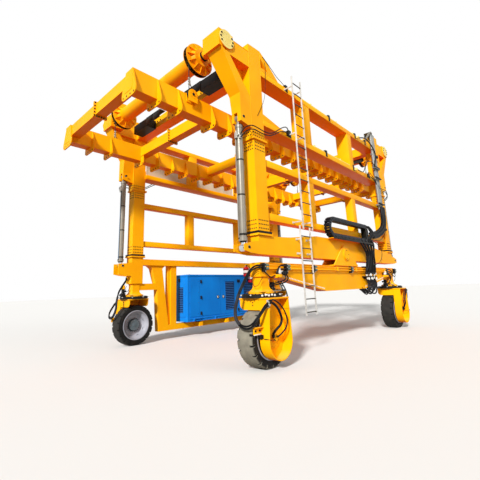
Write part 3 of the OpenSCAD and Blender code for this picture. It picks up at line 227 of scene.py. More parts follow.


# The fourth colour given to each enamel is painted shade for faces looking down
mats = {
    "orange": enamel("sprayedOrangeEnamel", "#FFB400", "#FBA200", "#FF7600", "#F5D890"),
    "drum": drumEnamel("greasedDrumEnamel", 1.84),
    "paleYellow": plainPaint("fadedYellowEnamelPlate", "#F3DE8A", "#E6C96A", 0.45, shine=0.15),
    "blue": enamel("sprayedBluePowderCoat", "#0A80DC", "#0A70C8", "#075AA8", "#7FB4DC"),
    "louvre": plainPaint("deepBlueLouvrePaint", "#2C66A6", "#1D4F8C", 0.45, shine=0.2),
    "black": plainPaint("satinBlackEnamel", "#0E0E0F", "#1B1B1B", 0.42, shine=0.16),
    "cream": plainPaint("creamEnamelBoard", "#D9CFB8", "#C8BDA2", 0.5, shine=0.2),
    "red": plainPaint("redEnamelCylinder", "#D01016", "#AE0A10", 0.28),
    "chrome": plainPaint("hardChromeRod", "#D9DCDE", "#C6CACD", 0.12, 1.0, 200.0, 0.00005, 0.5),
    "silver": plainPaint("silverEnamelBarrel", "#8F8779", "#7A7468", 0.36, 0.2),
    "barrelBlue": plainPaint("blueGreyEnamelBarrel", "#7F94A8", "#687E94", 0.36, 0.1),
    "galvanised": plainPaint("hotDipGalvanisedSteel", "#8F8F8A", "#70716E", 0.45, 0.25, 18.0),
    "ladder": plainPaint("drawnAluminiumLadder", "#D2D0CA", "#A9A69E", 0.4, 0.15, 18.0),
    # rungs drawn darker than the rails
    "rung": plainPaint("darkAluminiumRung", "#4A443A", "#332E27", 0.5, 0.1, 30.0, shine=0.2),
    "louvreGapShade": plainPaint("paintedShadeBehindLouvres", "#082A52", "#061F3E", 0.6, shine=0.1),
    "zinc": plainPaint("zincPlatedFasteners", "#C2BFB6", "#9D998F", 0.34, 0.4),
    "blackSteel": plainPaint("blackOxideFasteners", "#100E0A", "#211E18", 0.5, 0.1, shine=0.16),
    "hose": plainPaint("braidedHoseRubber", "#070708", "#121214", 0.42, 0.0, 140.0, 0.001, 0.13),
    "sheath": plainPaint("dustySpiralHoseGuard", "#161619", "#353438", 0.6, 0.0, 110.0, 0.002, 0.15),
    "rubber": plainPaint("mouldedBlackRubber", "#0A0A0A", "#161514", 0.7, 0.0, 90.0, shine=0.15),
    "plastic": plainPaint("mouldedBlackPolyamide", "#0B0D11", "#191C24", 0.38, 0.0, 90.0, shine=0.14),
    "white": plainPaint("whiteEnamelFitting", "#E4E3DD", "#CFCDC4", 0.4),
    "oldGrease": plainPaint("oldBlackGrease", "#0E0C08", "#1E1912", 0.4, 0.0, 40.0, 0.003, 0.2),
    "rim": plainPaint("paleGreyRimEnamel", "#A9A9B0", "#8B8B93", 0.4),
    "hub": plainPaint("greyGreenHubEnamel", "#5F6B70", "#4C565B", 0.45),
    "clamp": plainPaint("greyGreenPipeClamp", "#6F8073", "#5A6A5E", 0.5),
    "rope": greasedRope("greasedWireRope"),
    # Tyres: the paler tread is partly yard dust and wear, partly painted light; the darker copy is painted
    # shade
    "tyre": treadRubber("dustWearAndLightTyreRubber", "#8E8878", "#756F62", 1.0),
    "paintedShadeTyre": treadRubber("paintedShadeTyreRubber", "#35332F", "#23211F", 0.8),
}
print("materials:", len(mats))


# Making pieces
def finishPiece(obj, body, mat=None, smooth=None):
    # Puts a finished mesh in the scene, riding on its body
    if obj.name not in bpy.context.scene.collection.objects:
        bpy.context.scene.collection.objects.link(obj)
    if mat is not None:
        obj.data.materials.clear()
        obj.data.materials.append(mats[mat])
    if smooth is not None:
        flags = [True] * len(obj.data.polygons)
        obj.data.polygons.foreach_set("use_smooth", flags)
        obj.data.set_sharp_from_angle(angle=math.radians(smooth))
    if body:
        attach(obj, body)
    return obj


def meshPiece(name, bm, body, mat, smooth=40):
    bmesh.ops.remove_doubles(bm, verts=bm.verts, dist=1e-6)
    bmesh.ops.recalc_face_normals(bm, faces=bm.faces)
    mesh = bpy.data.meshes.new(name)
    bm.to_mesh(mesh)
    bm.free()
    obj = bpy.data.objects.new(name, mesh)
    return finishPiece(obj, body, mat, smooth)


def addBox(bm, low, high, bevel=0.0, turn=None):
    # A box between two corners with rounded edges, optionally turned by a matrix
    size = [b - a for a, b in zip(low, high)]
    made = bmesh.ops.create_cube(bm, size=1.0)["verts"]
    for v in made:
        v.co = Vector((low[i] + (v.co[i] + 0.5) * size[i] for i in range(3)))
    if bevel:
        edges = list({e for v in made for e in v.link_edges})
        out = bmesh.ops.bevel(bm, geom=edges, offset=bevel, segments=2, affect="EDGES",
                              profile=0.5, clamp_overlap=True)
        made = list({v for f in out["faces"] for v in f.verts} | {v for v in made if v.is_valid})
    if turn is not None:
        bmesh.ops.transform(bm, matrix=turn, verts=made)
    return made


def lathe(bm, profile, centre, axis, count=48, closed=False, start=0.0):
    # Turns a profile of (distance along the axis, radius) round the axis through centre
    axis = Vector(axis).normalized()
    side = axis.orthogonal().normalized()
    other = axis.cross(side)
    rings = []
    for i in range(count):
        a = start + 2 * math.pi * i / count
        out = side * math.cos(a) + other * math.sin(a)
        rings.append([bm.verts.new(Vector(centre) + axis * d + out * r) for d, r in profile])
    last = len(profile) if closed else len(profile) - 1
    for i in range(count):
        a, b = rings[i], rings[(i + 1) % count]
        for j in range(last):
            k = (j + 1) % len(profile)
            bm.faces.new((a[j], b[j], b[k], a[k]))
    return rings


def smoothPath(points, step=0.03):
    # Catmull-Rom line through the points, with a point about every step
    pts = [Vector(p) for p in points]
    line = [pts[0]]
    for i in range(len(pts) - 1):
        p0 = pts[max(i - 1, 0)]
        p1, p2 = pts[i], pts[i + 1]
        p3 = pts[min(i + 2, len(pts) - 1)]
        count = max(2, int((p2 - p1).length / step))
        for j in range(1, count + 1):
            t = j / count
            line.append(0.5 * ((2 * p1) + (p2 - p0) * t + (2 * p0 - 5 * p1 + 4 * p2 - p3) * t ** 2
                               + (3 * p1 - p0 - 3 * p2 + p3) * t ** 3))
    return line


def sweep(bm, line, radius, sides=10, ridge=0.0):
    # A closed tube along a line; ridge makes every second ring thicker
    tangent = (line[1] - line[0]).normalized()
    side = tangent.orthogonal().normalized()
    rings = []
    for i, p in enumerate(line):
        ahead = line[min(i + 1, len(line) - 1)] - line[max(i - 1, 0)]
        tangent = ahead.normalized() if ahead.length > 1e-9 else tangent
        side = (side - tangent * side.dot(tangent)).normalized()
        other = tangent.cross(side)
        r = radius + (ridge if i % 2 else 0.0)
        rings.append([bm.verts.new(p + (side * math.cos(2 * math.pi * k / sides)
                                        + other * math.sin(2 * math.pi * k / sides)) * r)
                      for k in range(sides)])
    for a, b in zip(rings, rings[1:]):
        for k in range(sides):
            bm.faces.new((a[k], a[(k + 1) % sides], b[(k + 1) % sides], b[k]))
    bm.faces.new(list(reversed(rings[0])))
    bm.faces.new(rings[-1])
    return rings


def hose(name, points, radius, mat="hose", body=None, blend=None, ridge=0.0, step=0.03, sides=10,
         ends=True):
    # A hose or cable with crimped ends: on one body it rides on that body, and across a joint
    # it rides on no body, with its crimps in the same mesh and its placement baked into the mesh
    line = smoothPath(points, step)
    bm = bmesh.new()
    sweep(bm, line, radius, sides, ridge)
    if ends:
        target = bm if blend else bmesh.new()
        for a, b in ((line[0], line[1]), (line[-1], line[-2])):
            lathe(target, [(-0.002, 0.0), (-0.002, radius * 1.3), (radius * 2.2, radius * 1.3),
                           (radius * 2.5, radius * 1.02), (radius * 2.5, 0.0)], a, (b - a).normalized(), 6)
        if not blend:
            meshPiece(name + "Crimps", target, body, "blackSteel", 30)
    piece = meshPiece(name, bm, body, mat, 50)
    if blend:
        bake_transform(piece)
    return piece


# One tree sets copies of a small shape on points that carry their direction and size
def repeatTree():
    tree = bpy.data.node_groups.new("repeatShape", "GeometryNodeTree")
    face = tree.interface
    face.new_socket("Geometry", in_out="INPUT", socket_type="NodeSocketGeometry")
    face.new_socket("Shape", in_out="INPUT", socket_type="NodeSocketObject")
    face.new_socket("Finish", in_out="INPUT", socket_type="NodeSocketMaterial")
    face.new_socket("Random Turn", in_out="INPUT", socket_type="NodeSocketFloat")
    face.new_socket("Geometry", in_out="OUTPUT", socket_type="NodeSocketGeometry")
    inlet = addNode(tree, "NodeGroupInput")
    outlet = addNode(tree, "NodeGroupOutput")
    vector = {"data_type": "FLOAT_VECTOR"}
    axis = addNode(tree, "GeometryNodeInputNamedAttribute", vector, Name="axis")
    side = addNode(tree, "GeometryNodeInputNamedAttribute", vector, Name="side")
    size = addNode(tree, "GeometryNodeInputNamedAttribute", vector, Name="size")
    turn = addNode(tree, "FunctionNodeAxesToRotation", {"primary_axis": "Z", "secondary_axis": "X"},
                   Primary_Axis=axis.outputs["Attribute"], Secondary_Axis=side.outputs["Attribute"])
    chance = addNode(tree, "FunctionNodeRandomValue", {"data_type": "FLOAT"}, Seed=7)
    angle = addNode(tree, "ShaderNodeMath", {"operation": "MULTIPLY"}, i0=chance.outputs[1],
                    i1=inlet.outputs["Random Turn"])
    spin = addNode(tree, "FunctionNodeAxisAngleToRotation", None, Axis=(0, 0, 1),
                   Angle=angle.outputs[0])
    both = addNode(tree, "FunctionNodeRotateRotation", {"rotation_space": "LOCAL"},
                   Rotation=turn.outputs[0], Rotate_By=spin.outputs[0])
    shape = addNode(tree, "GeometryNodeObjectInfo", None, Object=inlet.outputs["Shape"])
    copies = addNode(tree, "GeometryNodeInstanceOnPoints", None, Points=inlet.outputs["Geometry"],
                     Instance=shape.outputs["Geometry"], Rotation=both.outputs[0],
                     Scale=size.outputs["Attribute"])
    real = addNode(tree, "GeometryNodeRealizeInstances", None, Geometry=copies.outputs[0])
    paint = addNode(tree, "GeometryNodeSetMaterial", None, Geometry=real.outputs[0],
                    Material=inlet.outputs["Finish"])
    tree.links.new(paint.outputs[0], outlet.inputs[0])
    return tree


repeatShape = repeatTree()


def socketOf(tree, name):
    return next(s.identifier for s in tree.interface.items_tree
                if s.name == name and s.in_out == "INPUT")


def takeResult(obj):
    # The modifier's result as a plain mesh, with the modifier gone
    graph = bpy.context.evaluated_depsgraph_get()
    mesh = bpy.data.meshes.new_from_object(obj.evaluated_get(graph), depsgraph=graph)
    obj.modifiers.clear()
    old = obj.data
    obj.data = mesh
    if isinstance(old, bpy.types.Mesh):
        bpy.data.meshes.remove(old)
    return obj


def repeat(name, shape, spots, body, mat, spin=0.0, smooth=35):
    # spots: (place, axis, side, size) with size a number or three
    mesh = bpy.data.meshes.new(name)
    mesh.from_pydata([s[0] for s in spots], [], [])
    for key, column in (("axis", 1), ("side", 2), ("size", 3)):
        layer = mesh.attributes.new(key, "FLOAT_VECTOR", "POINT")
        for i, s in enumerate(spots):
            value = s[column]
            layer.data[i].vector = (value,) * 3 if isinstance(value, (int, float)) else value
    obj = bpy.data.objects.new(name, mesh)
    bpy.context.scene.collection.objects.link(obj)
    mod = obj.modifiers.new("repeatShape", "NODES")
    mod.node_group = repeatShape
    mod[socketOf(repeatShape, "Shape")] = shape
    mod[socketOf(repeatShape, "Finish")] = mats[mat]
    mod[socketOf(repeatShape, "Random Turn")] = spin
    takeResult(obj)
    return finishPiece(obj, body, None, smooth)


# Small shapes that are repeated; they stay out of the scene
def shapeObject(name, build):
    bm = bmesh.new()
    build(bm)
    bmesh.ops.remove_doubles(bm, verts=bm.verts, dist=1e-7)
    bmesh.ops.recalc_face_normals(bm, faces=bm.faces)
    mesh = bpy.data.meshes.new(name)
    bm.to_mesh(mesh)
    bm.free()
    return bpy.data.objects.new(name, mesh)


def hexBolt(bm):
    # Head of unit radius with its washer, along +Z from the plate
    lathe(bm, [(0.0, 0.0), (0.0, 1.25), (0.16, 1.25), (0.16, 0.0)], (0, 0, 0), (0, 0, 1), 14)
    lathe(bm, [(0.14, 0.0), (0.14, 1.0), (0.72, 1.0), (0.84, 0.82), (0.84, 0.0)], (0, 0, 0),
          (0, 0, 1), 6)


def studNut(bm):
    hexBolt(bm)
    lathe(bm, [(0.8, 0.0), (0.8, 0.55), (1.25, 0.55), (1.35, 0.42), (1.35, 0.0)], (0, 0, 0),
          (0, 0, 1), 8)


def buttonHead(bm):
    lathe(bm, [(0.0, 0.0), (0.0, 1.0), (0.22, 0.96), (0.42, 0.7), (0.5, 0.34), (0.3, 0.3),
               (0.3, 0.0)], (0, 0, 0), (0, 0, 1), 8)


def pinHead(bm):
    lathe(bm, [(0.0, 0.0), (0.0, 1.0), (0.35, 1.0), (0.5, 0.8), (0.5, 0.0)], (0, 0, 0), (0, 0, 1), 16)


shapes = {"hex": shapeObject("hexBolt", hexBolt), "nut": shapeObject("studNut", studNut),
          "button": shapeObject("buttonHead", buttonHead), "pin": shapeObject("pinHead", pinHead)}


def ring(centre, axis, radius, count, size, start=0.0):
    axis = Vector(axis).normalized()
    side = axis.orthogonal().normalized()
    other = axis.cross(side)
    spots = []
    for i in range(count):
        a = start + 2 * math.pi * i / count
        out = side * math.cos(a) + other * math.sin(a)
        spots.append((Vector(centre) + out * radius, axis, out, size))
    return spots


def row(start, end, count, axis, size):
    start, end = Vector(start), Vector(end)
    side = (end - start).normalized() if count > 1 else Vector(axis).orthogonal()
    return [(start.lerp(end, i / max(count - 1, 1)), Vector(axis), side, size) for i in range(count)]


# Weld beads: one tree thickens the drawn seams
def weldTree():
    tree = bpy.data.node_groups.new("weldBeads", "GeometryNodeTree")
    face = tree.interface
    face.new_socket("Geometry", in_out="INPUT", socket_type="NodeSocketGeometry")
    face.new_socket("Bead", in_out="INPUT", socket_type="NodeSocketFloat")
    face.new_socket("Ripple", in_out="INPUT", socket_type="NodeSocketFloat")
    face.new_socket("Finish", in_out="INPUT", socket_type="NodeSocketMaterial")
    face.new_socket("Geometry", in_out="OUTPUT", socket_type="NodeSocketGeometry")
    inlet = addNode(tree, "NodeGroupInput")
    outlet = addNode(tree, "NodeGroupOutput")
    curve = addNode(tree, "GeometryNodeMeshToCurve", None, Mesh=inlet.outputs["Geometry"])
    cut = addNode(tree, "GeometryNodeResampleCurve", {"mode": "LENGTH"}, Curve=curve.outputs[0],
                  Length=inlet.outputs["Ripple"])
    chance = addNode(tree, "FunctionNodeRandomValue", {"data_type": "FLOAT"}, i2=0.8, i3=1.2, Seed=3)
    wide = addNode(tree, "ShaderNodeMath", {"operation": "MULTIPLY"}, i0=chance.outputs[1],
                   i1=inlet.outputs["Bead"])
    circle = addNode(tree, "GeometryNodeCurvePrimitiveCircle", {"mode": "RADIUS"}, Resolution=6,
                     Radius=1.0)
    solid = addNode(tree, "GeometryNodeCurveToMesh", None, Curve=cut.outputs[0],
                    Profile_Curve=circle.outputs[0], Scale=wide.outputs[0], Fill_Caps=True)
    paint = addNode(tree, "GeometryNodeSetMaterial", None, Geometry=solid.outputs[0],
                    Material=inlet.outputs["Finish"])
    tree.links.new(paint.outputs[0], outlet.inputs[0])
    return tree


weldBeads = weldTree()


def welds(name, seams, body, bead=0.009, ripple=0.05, mat="orange"):
    # seams: lists of points; each becomes one bead half sunk in the corner that it fills
    verts, edges = [], []
    for seam in seams:
        for i, p in enumerate(seam):
            verts.append(Vector(p))
            if i:
                edges.append((len(verts) - 2, len(verts) - 1))
    mesh = bpy.data.meshes.new(name)
    mesh.from_pydata(verts, edges, [])
    obj = bpy.data.objects.new(name, mesh)
    bpy.context.scene.collection.objects.link(obj)
    mod = obj.modifiers.new("weldBeads", "NODES")
    mod.node_group = weldBeads
    mod[socketOf(weldBeads, "Bead")] = bead
    mod[socketOf(weldBeads, "Ripple")] = ripple
    mod[socketOf(weldBeads, "Finish")] = mats[mat]
    takeResult(obj)
    return finishPiece(obj, body, None, 60)


def loopAround(x0, x1, y0, y1, z):
    return [(x0, y0, z), (x1, y0, z), (x1, y1, z), (x0, y1, z), (x0, y0, z)]


# Camera, fitted to the photograph
view = {"place": (-9.334, -7.341, 1.6), "heading": 47.002, "pitch": 12.687, "roll": -2.182,
        "focal": 331.175, "centre": (240.0, 213.5), "picture": 480.0}


def makeCamera():
    az, pitch, roll = (math.radians(view[k]) for k in ("heading", "pitch", "roll"))
    ahead = Vector((math.sin(az) * math.cos(pitch), math.cos(az) * math.cos(pitch), math.sin(pitch)))
    right = ahead.cross(Vector((0, 0, 1))).normalized()
    up = right.cross(ahead)
    r = right * math.cos(roll) + up * math.sin(roll)
    u = up * math.cos(roll) - right * math.sin(roll)
    camera = bpy.data.cameras.new("photographView")
    camera.sensor_width = 36.0
    camera.sensor_fit = "HORIZONTAL"
    camera.lens = 36.0 * view["focal"] / view["picture"]
    camera.shift_x = (view["picture"] / 2 - view["centre"][0]) / view["picture"]
    camera.shift_y = (view["centre"][1] - view["picture"] / 2) / view["picture"]
    camera.clip_end = 300
    obj = bpy.data.objects.new("photographView", camera)
    turn = Matrix((r, u, -ahead)).transposed().to_4x4()
    turn.translation = Vector(view["place"])
    obj.matrix_world = turn
    bpy.context.scene.collection.objects.link(obj)
    bpy.context.scene.camera = obj


makeCamera()


# The two hoses of the pivot side frame, along the same points as their solids in the frame
frameHoses = {
    "column_hose": {"radius": 0.022, "stiffness": "stiff", "route": [
        (1.98, -2.90, 6.85), (2.06, -2.90, 6.85), (2.21, -2.925, 6.89), (2.39, -2.945, 6.92),
        (2.58, -2.95, 6.92), (2.77, -2.95, 6.885), (2.95, -2.95, 6.82), (3.11, -2.95, 6.74),
        (3.23, -2.95, 6.64), (3.29, -2.95, 6.53), (3.29, -2.95, 6.41), (3.24, -2.95, 6.30),
        (3.17, -2.95, 6.20), (3.115, -2.95, 6.10), (3.09, -2.95, 6.01), (3.09, -2.95, 5.95)]},
    "loop_cable": {"radius": 0.014, "stiffness": "medium", "route": [
        (1.48, -2.90, 5.48), (1.56, -2.90, 5.48), (1.70, -2.915, 5.46), (1.85, -2.925, 5.46),
        (1.97, -2.93, 5.51), (2.06, -2.935, 5.61), (2.13, -2.94, 5.73), (2.21, -2.945, 5.85),
        (2.32, -2.95, 5.95), (2.46, -2.95, 6.02), (2.61, -2.95, 6.06), (2.76, -2.95, 6.075),
        (2.89, -2.95, 6.06), (2.985, -2.95, 6.02), (3.025, -2.95, 5.985), (3.025, -2.95, 5.95)]},
}
for cordName, c in frameHoses.items():
    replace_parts(hose(cordName + "_skin", c["route"], c["radius"], "hose", "upper_frame"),
                cordName)
print("frame hoses laid")

# Finishes of the CAD nodes
nodeFinish = {
    "frame_pipes": "paleYellow", "jack_rods": "chrome", "jack_barrels": "silver", "leg_wipers": "rubber",
    "control_boxes": "black",
    "generator_set": "blue", "ladder": "galvanised", "sign_boards": "cream", "hoist_ropes": "rope",
    "slew_rings": "blackSteel", "valve_blocks": "black", "steering_drives": "black",
    "leg_conduits": "galvanised", "fire_extinguishers": "red", "generator_mounts": "rubber",
    "column_hose": "hose", "loop_cable": "hose",
    "hoist_shaft": "drum", "_tyre": "tyre", "_rim": "rim", "energy_chain": "plastic",
}
for nodeName, obj in nodes.items():
    finish = next((m for key, m in nodeFinish.items() if nodeName.endswith(key)), "orange")
    if not obj.material_slots:
        obj.data.materials.append(mats[finish])
    for slotItem in obj.material_slots:
        slotItem.material = mats[finish]
print("CAD nodes finished")


# Side frames: chords and posts of both sides as plate boxes with rounded edges
frameSizes = {"half": 3.548, "bevel": 0.006, "wide": (2.395, 2.825), "narrow": (2.535, 2.785),
              "wideChords": ((6.75, 6.90), (5.40, 5.55)), "narrowChords": ((4.38, 4.55), (3.08, 3.25)),
              "upperPosts": ((-1.665, -1.32), (1.14, 1.43)), "lowerPosts": ((-1.63, -1.37), (1.02, 1.28))}
for side, sy in sideSigns.items():
    f = frameSizes
    chords, posts = bmesh.new(), bmesh.new()
    for width, heights, uprights in (("wide", "wideChords", "upperPosts"),
                                     ("narrow", "narrowChords", "lowerPosts")):
        y0, y1 = sorted(sy * y for y in f[width])
        for z0, z1 in f[heights]:
            addBox(chords, (-f["half"], y0, z0), (f["half"], y1, z1), f["bevel"])
        for x0, x1 in f[uprights]:
            addBox(posts, (x0, y0, f[heights][1][1] - 0.002), (x1, y1, f[heights][0][0] + 0.002), f["bevel"])
    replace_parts(meshPiece(side + "SideChords", chords, "upper_frame", "orange", 30),
                side + "_side_chords")
    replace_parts(meshPiece(side + "SidePosts", posts, "upper_frame", "orange", 30),
                side + "_side_posts")
print("side frames made")


# Ladders: rails and dark rungs, the lower one ending where the upper one begins
ladders = {
    "upper_ladder": {"body": "upper_frame", "x": -2.325, "wide": 0.43, "y": -3.07, "low": 2.93, "high": 7.11,
                     "straps": (3.12, 5.45, 6.80), "to": (-2.785, -2.825, -2.825)},
    "lower_ladder": {"body": "pivot_side_base", "x": -2.275, "wide": 0.47, "y": -2.95, "low": 0.91,
                     "high": 3.05,
                     "straps": (2.35, 2.70), "to": (-2.825, -2.825)}}
for ladderName, l in ladders.items():
    bm, rungs = bmesh.new(), bmesh.new()
    for sign in (-1, 1):
        x = l["x"] + sign * (l["wide"] / 2 - 0.012)
        addBox(bm, (x - 0.009, l["y"] - 0.02, l["low"]), (x + 0.009, l["y"] + 0.02, l["high"]), 0.004)
        for z, face in zip(l["straps"], l["to"]):
            addBox(bm, (x - 0.009, l["y"] + 0.02, z), (x + 0.009, face, z + 0.035), 0.003)
            addBox(bm, (x - 0.03, face - 0.008, z - 0.01), (x + 0.03, face, z + 0.045), 0.002)
    z = l["low"] + 0.08
    while z < l["high"] - 0.06:
        lathe(rungs, [(-l["wide"] / 2 + 0.013, 0.0), (-l["wide"] / 2 + 0.013, 0.0135),
                      (l["wide"] / 2 - 0.013, 0.0135), (l["wide"] / 2 - 0.013, 0.0)], (l["x"], l["y"], z),
                      (1, 0, 0), 12)
        z += 0.30
    rails = meshPiece(ladderName + "_rails", bm, l["body"], "ladder", 30)
    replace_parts(rails, ladderName)
    meshPiece(ladderName + "_rungs", rungs, l["body"], "rung", 30)
print("ladders made")

# Wheels
tyreSizes = {"outer": 0.6, "width": 0.42, "bead": 0.44, "slits": 18, "slitWidth": 0.034, "slitDepth": 0.03,
             "slitReach": 0.075, "slitDrop": 0.075, "shoulder": 0.045, "between": 5}


def tyreAngles():
    # Angles round the tyre, each with the side whose slit it lies in, -1 or 1, or beside it, -2 or 2
    s = tyreSizes
    half, wall = s["slitWidth"] / 2 / s["outer"], 0.006 / s["outer"]
    pitch = math.pi / s["slits"]
    angles = []
    for i in range(2 * s["slits"]):
        middle = i * pitch
        flag = -1 if i % 2 else 1
        angles += [(middle - half - wall, 2 * flag), (middle - half, flag), (middle + half, flag),
                   (middle + half + wall, 2 * flag)]
        gap = pitch - 2 * (half + wall)
        angles += [(middle + half + wall + gap * (j + 1) / (s["between"] + 1), 0)
                   for j in range(s["between"])]
    return angles


def tyreProfile():
    # Half section from the bead to the middle of the tread, then its mirror image
    s = tyreSizes
    r, w = s["outer"], s["width"] / 2
    half = [(-w + 0.02, s["bead"] + 0.001), (-w + 0.004, s["bead"] + 0.012), (-w, s["bead"] + 0.03),
            (-w + 0.005, s["bead"] + 0.036), (-w + 0.004, r - 0.105), (-w, r - 0.098), (-w, r - 0.08),
            (-w + 0.007, r - 0.074), (-w + 0.005, r - 0.052)]
    for i in range(6):
        a = math.radians(-80 + 16 * i)
        half.append((-w + s["shoulder"] * (1 + math.sin(a)), r - 0.001 - s["shoulder"] * (1 - math.cos(a))))
    half += [(-w + s["slitReach"], r - 0.0006), (-w + s["slitReach"] + 0.006, r - 0.0004), (-0.06, r)]
    return half + [(-y, q) for y, q in reversed(half)]


def makeTyre(name, centre, body, mat):
    s = tyreSizes
    r, w = s["outer"], s["width"] / 2
    profile = tyreProfile()
    bm = bmesh.new()
    layer = bm.verts.layers.float.new("worn")
    rings = []
    for angle, flag in tyreAngles():
        out = Vector((math.cos(angle), 0, math.sin(angle)))
        verts = []
        for y, q in profile:
            inSlit = abs(flag) == 1 and flag * y > 0
            sunk = inSlit and abs(y) > w - s["slitReach"] - 0.001 and q > r - s["slitDrop"]
            depth = s["slitDepth"] if sunk and q > r - 0.05 else 0.0
            inset = math.copysign(0.012, y) if sunk and q < r - 0.012 else 0.0
            v = bm.verts.new(Vector(centre) + Vector((0, y - inset, 0)) + out * (q - depth))
            edge = abs(flag) == 2 and flag * y > 0 and q > r - 0.075
            worn = min(max((q - (r - 0.03)) / 0.025, 0.0), 1.0)
            v[layer] = 0.0 if sunk else max(worn, 0.8 if edge else 0.0)
            verts.append(v)
        rings.append(verts)
    for a, b in zip(rings, rings[1:] + rings[:1]):
        for j in range(len(profile)):
            k = (j + 1) % len(profile)
            bm.faces.new((a[j], b[j], b[k], a[k]))
    piece = meshPiece(name + "Tread", bm, body, mat, 38)
    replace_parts(piece, name)
    return piece


def makeRim(name, centre, outward, body):
    # outward: direction of the fork's arm; the dished face looks the other way
    inward = -Vector((0, outward, 0))
    bm = bmesh.new()
    w = 0.21
    profile = [(-w, 0.418), (-w, 0.4395), (w - 0.002, 0.4395), (w, 0.436), (w, 0.418),
               (w - 0.012, 0.412), (w - 0.03, 0.41), (w - 0.06, 0.40), (w - 0.08, 0.385),
               (w - 0.1, 0.37), (w - 0.11, 0.352), (w - 0.125, 0.342), (w - 0.165, 0.325), (w - 0.19, 0.30),
               (w - 0.2, 0.27), (w - 0.19, 0.235), (w - 0.18, 0.232), (w - 0.18, 0.19),
               (w - 0.222, 0.188), (w - 0.222, 0.0)]
    lathe(bm, profile, centre, inward, 64)
    lathe(bm, [(w - 0.222, 0.0), (w - 0.222, 0.26), (w - 0.25, 0.3), (w - 0.24, 0.40), (w - 0.235, 0.419),
               (-w, 0.419)], centre, inward, 64)
    lathe(bm, [(-w - 0.0145, 0.0), (-w - 0.0145, 0.178), (w - 0.24, 0.178), (w - 0.24, 0.0)], centre,
          inward, 48)
    piece = meshPiece(name + "Dish", bm, body, "rim", 30)
    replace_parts(piece, name)
    bm = bmesh.new()
    lathe(bm, [(w - 0.222, 0.0), (w - 0.222, 0.172), (w - 0.14, 0.17), (w - 0.128, 0.16), (w - 0.125, 0.0)],
          centre, inward, 48)
    lathe(bm, [(w - 0.126, 0.0), (w - 0.126, 0.055), (w - 0.112, 0.05), (w - 0.112, 0.0)],
          centre, inward, 20)
    meshPiece(name + "HubCover", bm, body, "hub", 30)
    spots = ring(Vector(centre) + inward * (w - 0.18), inward, 0.211, 20, 0.013)
    repeat(name + "WheelNuts", shapes["nut"], spots, body, "blackSteel")
    spots = ring(Vector(centre) + inward * (w - 0.126), inward, 0.145, 8, 0.008)
    repeat(name + "CoverScrews", shapes["button"], spots, body, "zinc")
    axis = inward
    side = axis.orthogonal().normalized()
    other = axis.cross(side)
    bm = bmesh.new()
    # the hand holes are black boxes: painted shade in the recesses
    for i in range(8):  # hand holes, dark recesses near the dish's outer edge
        a = 2 * math.pi * (i + 0.5) / 8
        out = side * math.cos(a) + other * math.sin(a)
        lie = axis.cross(out)
        turn = Matrix((lie, out, axis)).transposed().to_4x4()
        turn.translation = Vector(centre) + axis * (w - 0.1405) + out * 0.338
        addBox(bm, (-0.042, -0.012, -0.014), (0.042, 0.012, 0.0), 0.006, turn)
    meshPiece(name + "HandHoles", bm, body, "rubber", 40)
    return piece


for key, end, side, ex, sy in legs:
    centre = (ex * legX, sy * legY, 0.6)
    # the front pivot side wheel gets the paler tread (painted light), the other three the darker one
    # (painted shade)
    makeTyre(key + "_tyre", centre, key + "_wheel", "tyre" if ex + sy == -2 else "paintedShadeTyre")
    makeRim(key + "_rim", centre, sy, key + "_wheel")
print("wheels made")

# Forks and slew rings
forkSizes = {"crownTop": 1.39, "ringTop": 1.4666, "crownUnder": 1.36, "fittingHeight": 1.447,
             "fittingRadius": 0.43, "studHeight": 1.5063}
for key, end, side, ex, sy in legs:
    fork = key + "_fork"
    base = "equaliser" if side == "pivot" else "genset_side_base"
    top = (ex * legX, sy * legY, forkSizes["crownTop"])
    # bolts under the crown plate and on the ring
    spots = ring((top[0], top[1], forkSizes["ringTop"]), (0, 0, 1), 0.375, 30, 0.013)
    repeat(key + "RingBolts", shapes["hex"], spots, base, "blackSteel", 3.0)
    spots = ring((top[0], top[1], forkSizes["crownUnder"]), (0, 0, -1), 0.385, 24, 0.012)
    repeat(key + "CrownBolts", shapes["hex"], spots, fork, "blackSteel", 3.0)
    # grease fittings round the ring
    bm = bmesh.new()
    for i in range(8):
        a = math.radians(45 * i + 10)
        out = Vector((math.cos(a), math.sin(a), 0))
        at = Vector((top[0], top[1], forkSizes["fittingHeight"])) + out * forkSizes["fittingRadius"]
        lathe(bm, [(-0.002, 0.0), (-0.002, 0.014), (0.016, 0.014), (0.018, 0.008), (0.034, 0.008),
                   (0.036, 0.0)], at, out, 8)
    for i in range(5):
        a = math.radians(222 + 9 * i)
        out = toLeg(end, side, (math.cos(a), math.sin(a), 0))
        at = atLeg(end, side, 0.431 * math.cos(a), 0.431 * math.sin(a), 1.435 + 0.012 * (i % 2))
        lathe(bm, [(-0.002, 0.0), (-0.002, 0.02), (0.014, 0.022), (0.018, 0.012), (0.03, 0.012),
                   (0.032, 0.0)], at, out, 8)
    meshPiece(key + "GreaseFittings", bm, base, "white", 40)
    # pedestal foot studs
    spots = ring((top[0], top[1], forkSizes["studHeight"]), (0, 0, 1), 0.235, 12, 0.015, 0.26)
    repeat(key + "PedestalStuds", shapes["nut"], spots, base, "orange", 3.0)
print("forks and slew rings dressed")

